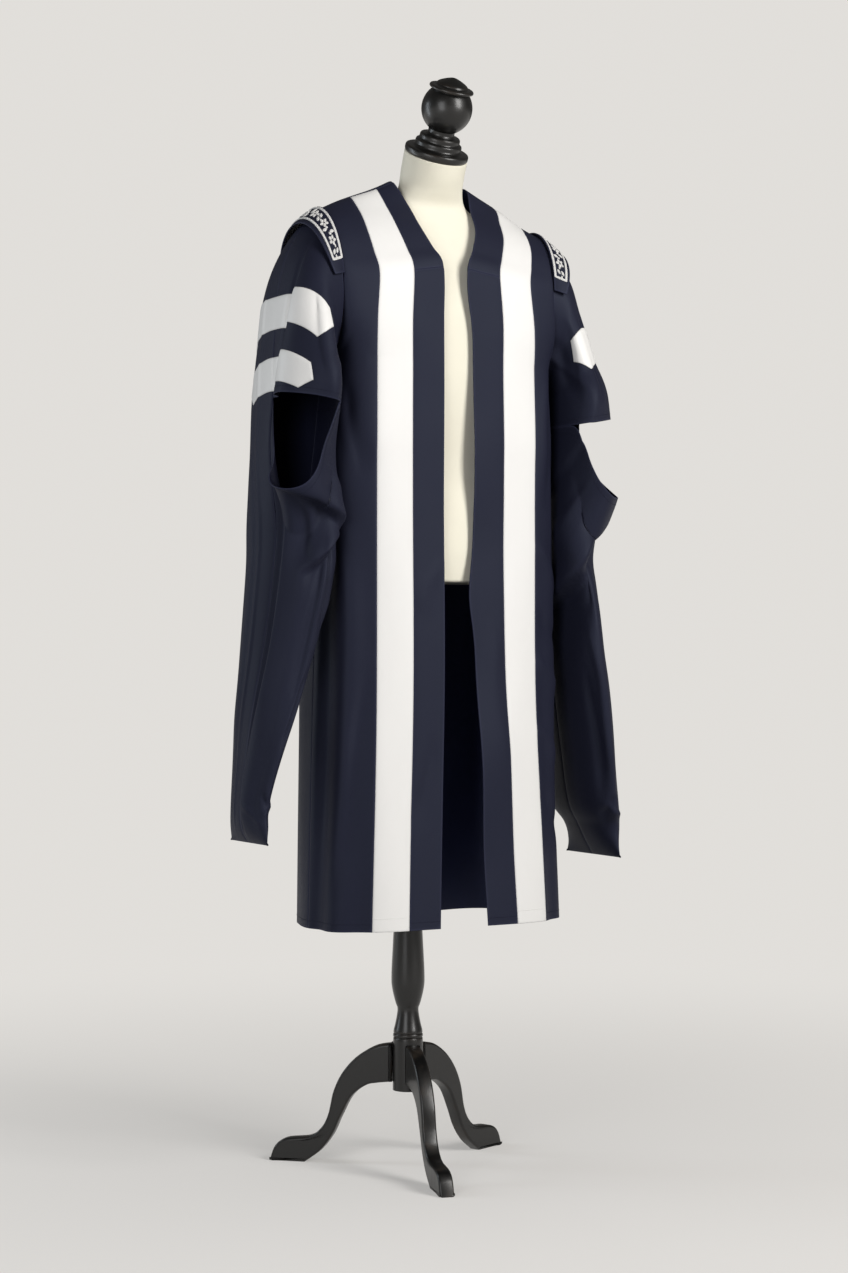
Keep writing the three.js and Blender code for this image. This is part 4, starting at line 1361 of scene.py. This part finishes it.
def stitches(name, lines, material, slot, length, gap=0.7, width=0.42):
    """Rows of stitches: small six-sided grains laid end to end along lines of points and normals."""
    grains = []
    for points, normals in lines:
        walked = walk(points)
        centres = np.arange(length, walked[-1] - length, length + gap)
        at = along_line(centres, walked, points)
        up = along_line(centres, walked, normals)
        tangent = unit(along_line(centres + 0.5, walked, points) - at)
        aside = np.cross(up, tangent)
        x = np.array([-0.5, -0.3, -0.3, -0.3, -0.3, 0.3, 0.3, 0.3, 0.3, 0.5]) * length
        y = np.array([0, 1, 0, -1, 0, 1, 0, -1, 0, 0]) * width
        z = np.array([0, 0, 1, 0, -1, 0, 1, 0, -1, 0]) * width
        grain = at[:, None] + tangent[:, None] * x[None, :, None] + aside[:, None] * y[None, :, None]
        grains.append(grain + up[:, None] * (z + 0.12)[None, :, None])
    grain = np.concatenate(grains)
    one = [(0, 1, 2), (0, 2, 3), (0, 3, 4), (0, 4, 1), (9, 6, 5), (9, 7, 6), (9, 8, 7), (9, 5, 8)]
    one += [(1, 5, 6), (1, 6, 2), (2, 6, 7), (2, 7, 3), (3, 7, 8), (3, 8, 4), (4, 8, 5), (4, 5, 1)]
    faces = (np.array(one)[None] + (np.arange(len(grain)) * 10)[:, None, None]).reshape(-1, 3)
    flat = grain.reshape(-1, 3)
    uv = np.zeros((len(flat), 2))
    values = {"rim": np.full(len(flat), 0.02)}
    points = to_metres(settled(flat))
    return attach(make_mesh(name, points, faces[:, ::-1], [material], uv, None, values), slot)


def inset_line(grid, normal, edge, distance):
    """A line on a grid that keeps a distance from its first or last row, found along each column."""
    start, end, _, _ = edge_lengths(grid)
    walked = start if edge == "start" else end
    order = 1 if edge == "start" else -1
    lines = []
    for data in (grid, normal):
        columns = [
            along_line(distance, walked[::order, j], data[::order, j])
            for j in range(grid.shape[1])
        ]
        lines.append(np.array(columns))
    return lines[0], lines[1]


class GOWN_OT_stitching(bpy.types.Operator):
    """Topstitching along the hems and the slit edges"""

    bl_idname = "gown.stitching"
    bl_label = "Stitching"

    def execute(self, context):
        gown = context.scene.gown
        length, above = gown.stitch * 1000, gown.hem_stitch * 1000
        paths = GownBuild.paths
        navy, white = [], []
        for side in SIDES:
            navy.append(inset_line(*paths[f"sleeve_top_{side}"], "end", above * 0.8))
            navy.append(inset_line(*paths[f"sleeve_low_{side}"], "start", above))
            navy.append(inset_line(*paths[f"facing_{side}"], "start", above))
            navy.append(inset_line(*paths[f"front_{side}"], "start", above))
            white.append(inset_line(*paths[f"stripe_{side}"], "start", above * 1.7))
        navy.append(inset_line(*paths["back"], "end", above))
        stitches("hem_stitching_navy", navy, GownBuild.material("navy"), "navy_cloth", length)
        stitches("hem_stitching_white", white, GownBuild.material("satin"), "white_satin", length)
        return {"FINISHED"}


def ring_piece(name, rings, material, slot, node, rub=None, ends=None):
    """A closed piece from rings of points, its two ends filled flat by the given faces of a ring."""
    rows, columns = rings.shape[:2]
    faces = grid_faces(rows, columns, True)
    flat = rings.reshape(-1, 3)
    flip = signed_volume(flat - flat.mean(axis=0), faces) < 0
    ends = [np.arange(columns)] if ends is None else ends
    first = [np.asarray(face)[::-1].tolist() for face in ends]
    last = [(np.asarray(face) + (rows - 1) * columns).tolist() for face in ends]
    lists = faces.tolist() + first + last
    if flip:
        lists = [face[::-1] for face in lists]
    uv = np.stack([walk(rings, 1), walk(rings, 0)], axis=-1).reshape(-1, 2) / 1000
    values = None if rub is None else {"rub": rub}
    piece = make_mesh(name, to_metres(flat), lists, [material], uv, None, values)
    return attach(piece, slot, node)


class GOWN_OT_form(bpy.types.Operator):
    """Jersey-covered form with its neck"""

    bl_idname = "gown.form"
    bl_label = "Form"

    def execute(self, context):
        t = np.linspace(0, len(TORSO_ROWS) - 1, 170)
        row = between(TORSO_ROWS, t)
        y, z, wide, deep, square, tilt = (row[:, k, None] for k in range(6))
        turn = np.linspace(0, 2 * np.pi, 128, endpoint=False)[None]
        cos, sin = np.cos(turn), np.sin(turn)
        x = wide * np.sign(cos) * np.abs(cos) ** (2 / square)
        fore = deep * np.sign(sin) * np.abs(sin) ** (2 / square)
        tilt = np.radians(tilt)
        rings = np.stack([x, y - fore * np.cos(tilt), z - fore * np.sin(tilt)], axis=-1)
        centre = rings[:1].mean(axis=1, keepdims=True)
        lifts = ((0.96, 0), (0.985, 0.4))
        under = [centre + (rings[:1] - centre) * k + np.array([0, 0, d]) for k, d in lifts]
        rings = np.concatenate([*under, rings])
        rings[2, :, 2] += 2.2
        ring_piece("torso_form", rings, GownBuild.material("jersey"), "cream_jersey", "torso")
        return {"FINISHED"}


def fine_line(rows):
    """A smooth line of LEG_STEPS points through the rows of an outline."""
    return between(np.array(rows, float), np.linspace(0, len(rows) - 1, LEG_STEPS))


def softened(profile, times):
    """A profile with its corners cut by quarters, so that turned edges are slightly round."""
    line = np.array(profile, float)
    for _ in range(times):
        a, b = line[:-1], line[1:]
        cut = np.stack([0.75 * a + 0.25 * b, 0.25 * a + 0.75 * b], axis=1).reshape(-1, 2)
        line = np.concatenate([line[:1], cut, line[-1:]])
    return line


class GOWN_OT_stand(bpy.types.Operator):
    """Neck cap, finial, turned pole and the three legs"""

    bl_idname = "gown.stand"
    bl_label = "Stand"

    def turned(self, name, profile, node, tilt, centre):
        """A profile turned about its axis, tilted about X and set at its centre."""
        line = softened(profile, 3)
        sides = bpy.context.scene.gown_stand.sides
        turn = np.linspace(0, 2 * np.pi, sides, endpoint=False)
        radius, height = line[:, :1], line[:, 1:]
        x, y, z = np.broadcast_arrays(radius * np.cos(turn), radius * np.sin(turn), height + 0 * turn)
        cos, sin = math.cos(math.radians(tilt)), math.sin(math.radians(tilt))
        rings = np.stack([x, y * cos - z * sin, y * sin + z * cos], axis=-1) + np.array(centre)
        bend = np.zeros(len(line))
        step = np.diff(line, axis=0)
        facing = np.unwrap(np.arctan2(step[:, 1], step[:, 0]))
        bend[1:-1] = np.diff(facing)
        rub = np.repeat(np.clip(bend * 2.5, 0, 1)[:, None], sides, 1)
        ring_piece(name, rings, GownBuild.material("wood"), "black_wood", node, rub)

    def leg(self, name, turn):
        """A board: its side outline carried across the thickness, drawn in at both rounded edges."""
        edge = bpy.context.scene.gown_stand.leg_round * 1000
        outline = np.concatenate([fine_line(LEG_TOP), fine_line(LEG_UNDER)])
        outline[:, 1] = np.clip(outline[:, 1], 0, None)
        step = np.roll(outline, -1, axis=0) - np.roll(outline, 1, axis=0)
        aside = unit(np.stack([-step[:, 1], step[:, 0]], axis=-1))
        turns = np.linspace(0, np.pi / 2, 6)
        inset = edge * (1 - np.sin(turns))
        inset = np.concatenate([[edge + 1.5], inset, inset[::-1], [edge + 1.5]])
        half = LEG_THICK / 2
        depth = edge * (1 - np.cos(turns)) - half
        depth = np.concatenate([[-half], depth, -depth[::-1], [half]])
        shift = inset[:, None, None] * -aside[None]
        flat = outline[None] + shift
        angle = math.radians(turn - 90)
        r, z = flat[..., 0], flat[..., 1] + FLOOR_Z
        s = np.broadcast_to(depth[:, None], r.shape)
        x = r * math.cos(angle) - s * math.sin(angle)
        y = r * math.sin(angle) + s * math.cos(angle)
        rub = np.repeat(np.where(np.abs(depth) < half - 0.5, 0.5, 0.0)[:, None], len(outline), 1)
        k = np.arange(LEG_STEPS - 1)
        last = 2 * LEG_STEPS - 1
        ends = np.stack([k, k + 1, last - 1 - k, last - k], axis=-1)
        rings = np.stack([x, y, z], axis=-1)
        wood, node = GownBuild.material("wood"), f"leg_{name}"
        ring_piece(f"{node}_board", rings, wood, "black_wood", node, rub, ends)

    def execute(self, context):
        angles = np.radians(np.linspace(BALL_FOOT, BALL_HEAD, 18))
        reach, height = BALL_RADIUS * np.cos(angles), BALL_AT + BALL_RADIUS * np.sin(angles)
        finial = FINIAL_FOOT + np.stack([reach, height], axis=-1).tolist() + FINIAL_TIP
        self.turned("neck_cap_turned", CAP_PROFILE, "neck_cap", CAP_TILT, CAP_CENTRE)
        self.turned("finial_turned", finial, "finial", CAP_TILT, CAP_CENTRE)
        self.turned("pole_turned", POLE_PROFILE, "pole", 0.0, (0.0, 0.0, 0.0))
        for name, turn in LEG_TURNS.items():
            self.leg(name, turn)
        return {"FINISHED"}


class GOWN_OT_stage(bpy.types.Operator):
    """Pale floor, soft lights, backdrop and camera"""

    bl_idname = "gown.stage"
    bl_label = "Stage"

    def floor(self, stage):
        """A wide disc that fades into the backdrop colour with distance from the stand."""
        radius = np.array(FLOOR_RINGS)[:, None]
        turn = np.linspace(0, 2 * np.pi, FLOOR_SIDES, endpoint=False)[None]
        points = np.stack([radius * np.cos(turn), radius * np.sin(turn), 0 * radius * turn], axis=-1)
        shade = Shade("pale_floor", roughness=0.9, specular_ior_level=0.1)
        at = shade.object_at()
        far = shade.node("ShaderNodeVectorMath", {"operation": "LENGTH"}, {0: at}, "Value")
        cloud = shade.noise(at, 3.0, 3.0)
        dark, light = shades(stage.floor, 0.99, 1.01)
        shade.feed(base_color=shade.mix(cloud, dark, light))
        glow = shade.node("ShaderNodeEmission", None, {"Color": (*stage.backdrop, 1)})
        ground = Wire(shade, shade.shader.outputs[0])
        blend = {0: far.rise(-1.6, 2.6), 1: ground, 2: glow}
        shade.plug(shade.output.inputs[0], shade.node("ShaderNodeMixShader", None, blend))
        faces = grid_faces(len(FLOOR_RINGS), FLOOR_SIDES, True)
        piece = make_mesh("floor", points.reshape(-1, 3), faces, [shade.material])
        piece.visible_diffuse = False

    def light(self, name, place, target, size, power, colour):
        data = bpy.data.lights.new(name, "AREA")
        data.shape = "RECTANGLE"
        data.size, data.size_y = size
        data.energy = power
        data.color = colour
        lamp = bpy.data.objects.new(name, data)
        lamp.location = place
        lamp.rotation_euler = (Vector(target) - Vector(place)).to_track_quat("-Z", "Y").to_euler()
        bpy.context.scene.collection.objects.link(lamp)

    def execute(self, context):
        stage = context.scene.gown_stage
        self.floor(stage)
        world = bpy.data.worlds.new("studio")
        context.scene.world = world
        studio = Tree(world)
        background = world.node_tree.nodes["Background"]
        seen = studio.node("ShaderNodeLightPath", output="Is Camera Ray")
        level = {"Value": seen, "To Min": stage.ambient}
        studio.plug(background.inputs["Color"], (*stage.backdrop, 1))
        studio.plug(background.inputs["Strength"], studio.node("ShaderNodeMapRange", None, level))
        for name, values in LIGHTS.items():
            self.light(name, *values)
        camera = bpy.data.cameras.new("camera")
        camera.sensor_fit = "VERTICAL"
        camera.sensor_height = FILM
        camera.lens = FOCAL * FILM
        camera.shift_y = VIEW_RISE
        camera.clip_end = 200
        eye = bpy.data.objects.new("camera", camera)
        turn = math.radians(stage.turn)
        view = Vector((-math.sin(turn), math.cos(turn), 0))
        right = Vector((math.cos(turn), math.sin(turn), 0))
        pole = Vector((POLE_X, POLE_Y, 0))
        place = pole - view * stage.distance + right * (VIEW_ASIDE * stage.distance)
        eye.location = (place.x, place.y, stage.height)
        eye.rotation_euler = view.to_track_quat("-Z", "Y").to_euler()
        context.scene.collection.objects.link(eye)
        context.scene.camera = eye
        context.scene.view_settings.view_transform = "Standard"
        return {"FINISHED"}


class GOWN_PT_pieces(bpy.types.Panel):
    """Lists the pieces of the gown, form and stand"""

    bl_label = "Graduation gown"
    bl_idname = "GOWN_PT_pieces"
    bl_space_type = "VIEW_3D"
    bl_region_type = "UI"
    bl_category = "Gown"

    def draw(self, context):
        for operator in OPERATORS:
            self.layout.operator(operator.bl_idname)


SETTINGS = {"gown": GownSettings, "gown_stand": StandSettings, "gown_stage": StageSettings}
OPERATORS = (
    GOWN_OT_stage,
    GOWN_OT_form,
    GOWN_OT_stand,
    GOWN_OT_fronts,
    GOWN_OT_back,
    GOWN_OT_sleeves,
    GOWN_OT_bars,
    GOWN_OT_wings,
    GOWN_OT_stitching,
)


def register():
    for name, settings in SETTINGS.items():
        bpy.utils.register_class(settings)
        setattr(bpy.types.Scene, name, PointerProperty(type=settings))
    for cls in (*OPERATORS, GOWN_PT_pieces):
        bpy.utils.register_class(cls)


def unregister():
    for cls in reversed((*OPERATORS, GOWN_PT_pieces)):
        bpy.utils.unregister_class(cls)
    for name, settings in SETTINGS.items():
        delattr(bpy.types.Scene, name)
        bpy.utils.unregister_class(settings)


def main():
    register()
    bpy.ops.gown.stage()
    bpy.ops.gown.form()
    bpy.ops.gown.stand()
    bpy.ops.gown.fronts()
    bpy.ops.gown.back()
    bpy.ops.gown.sleeves()
    bpy.ops.gown.bars()
    bpy.ops.gown.wings()
    bpy.ops.gown.stitching()


if __name__ == "__main__":
    main()
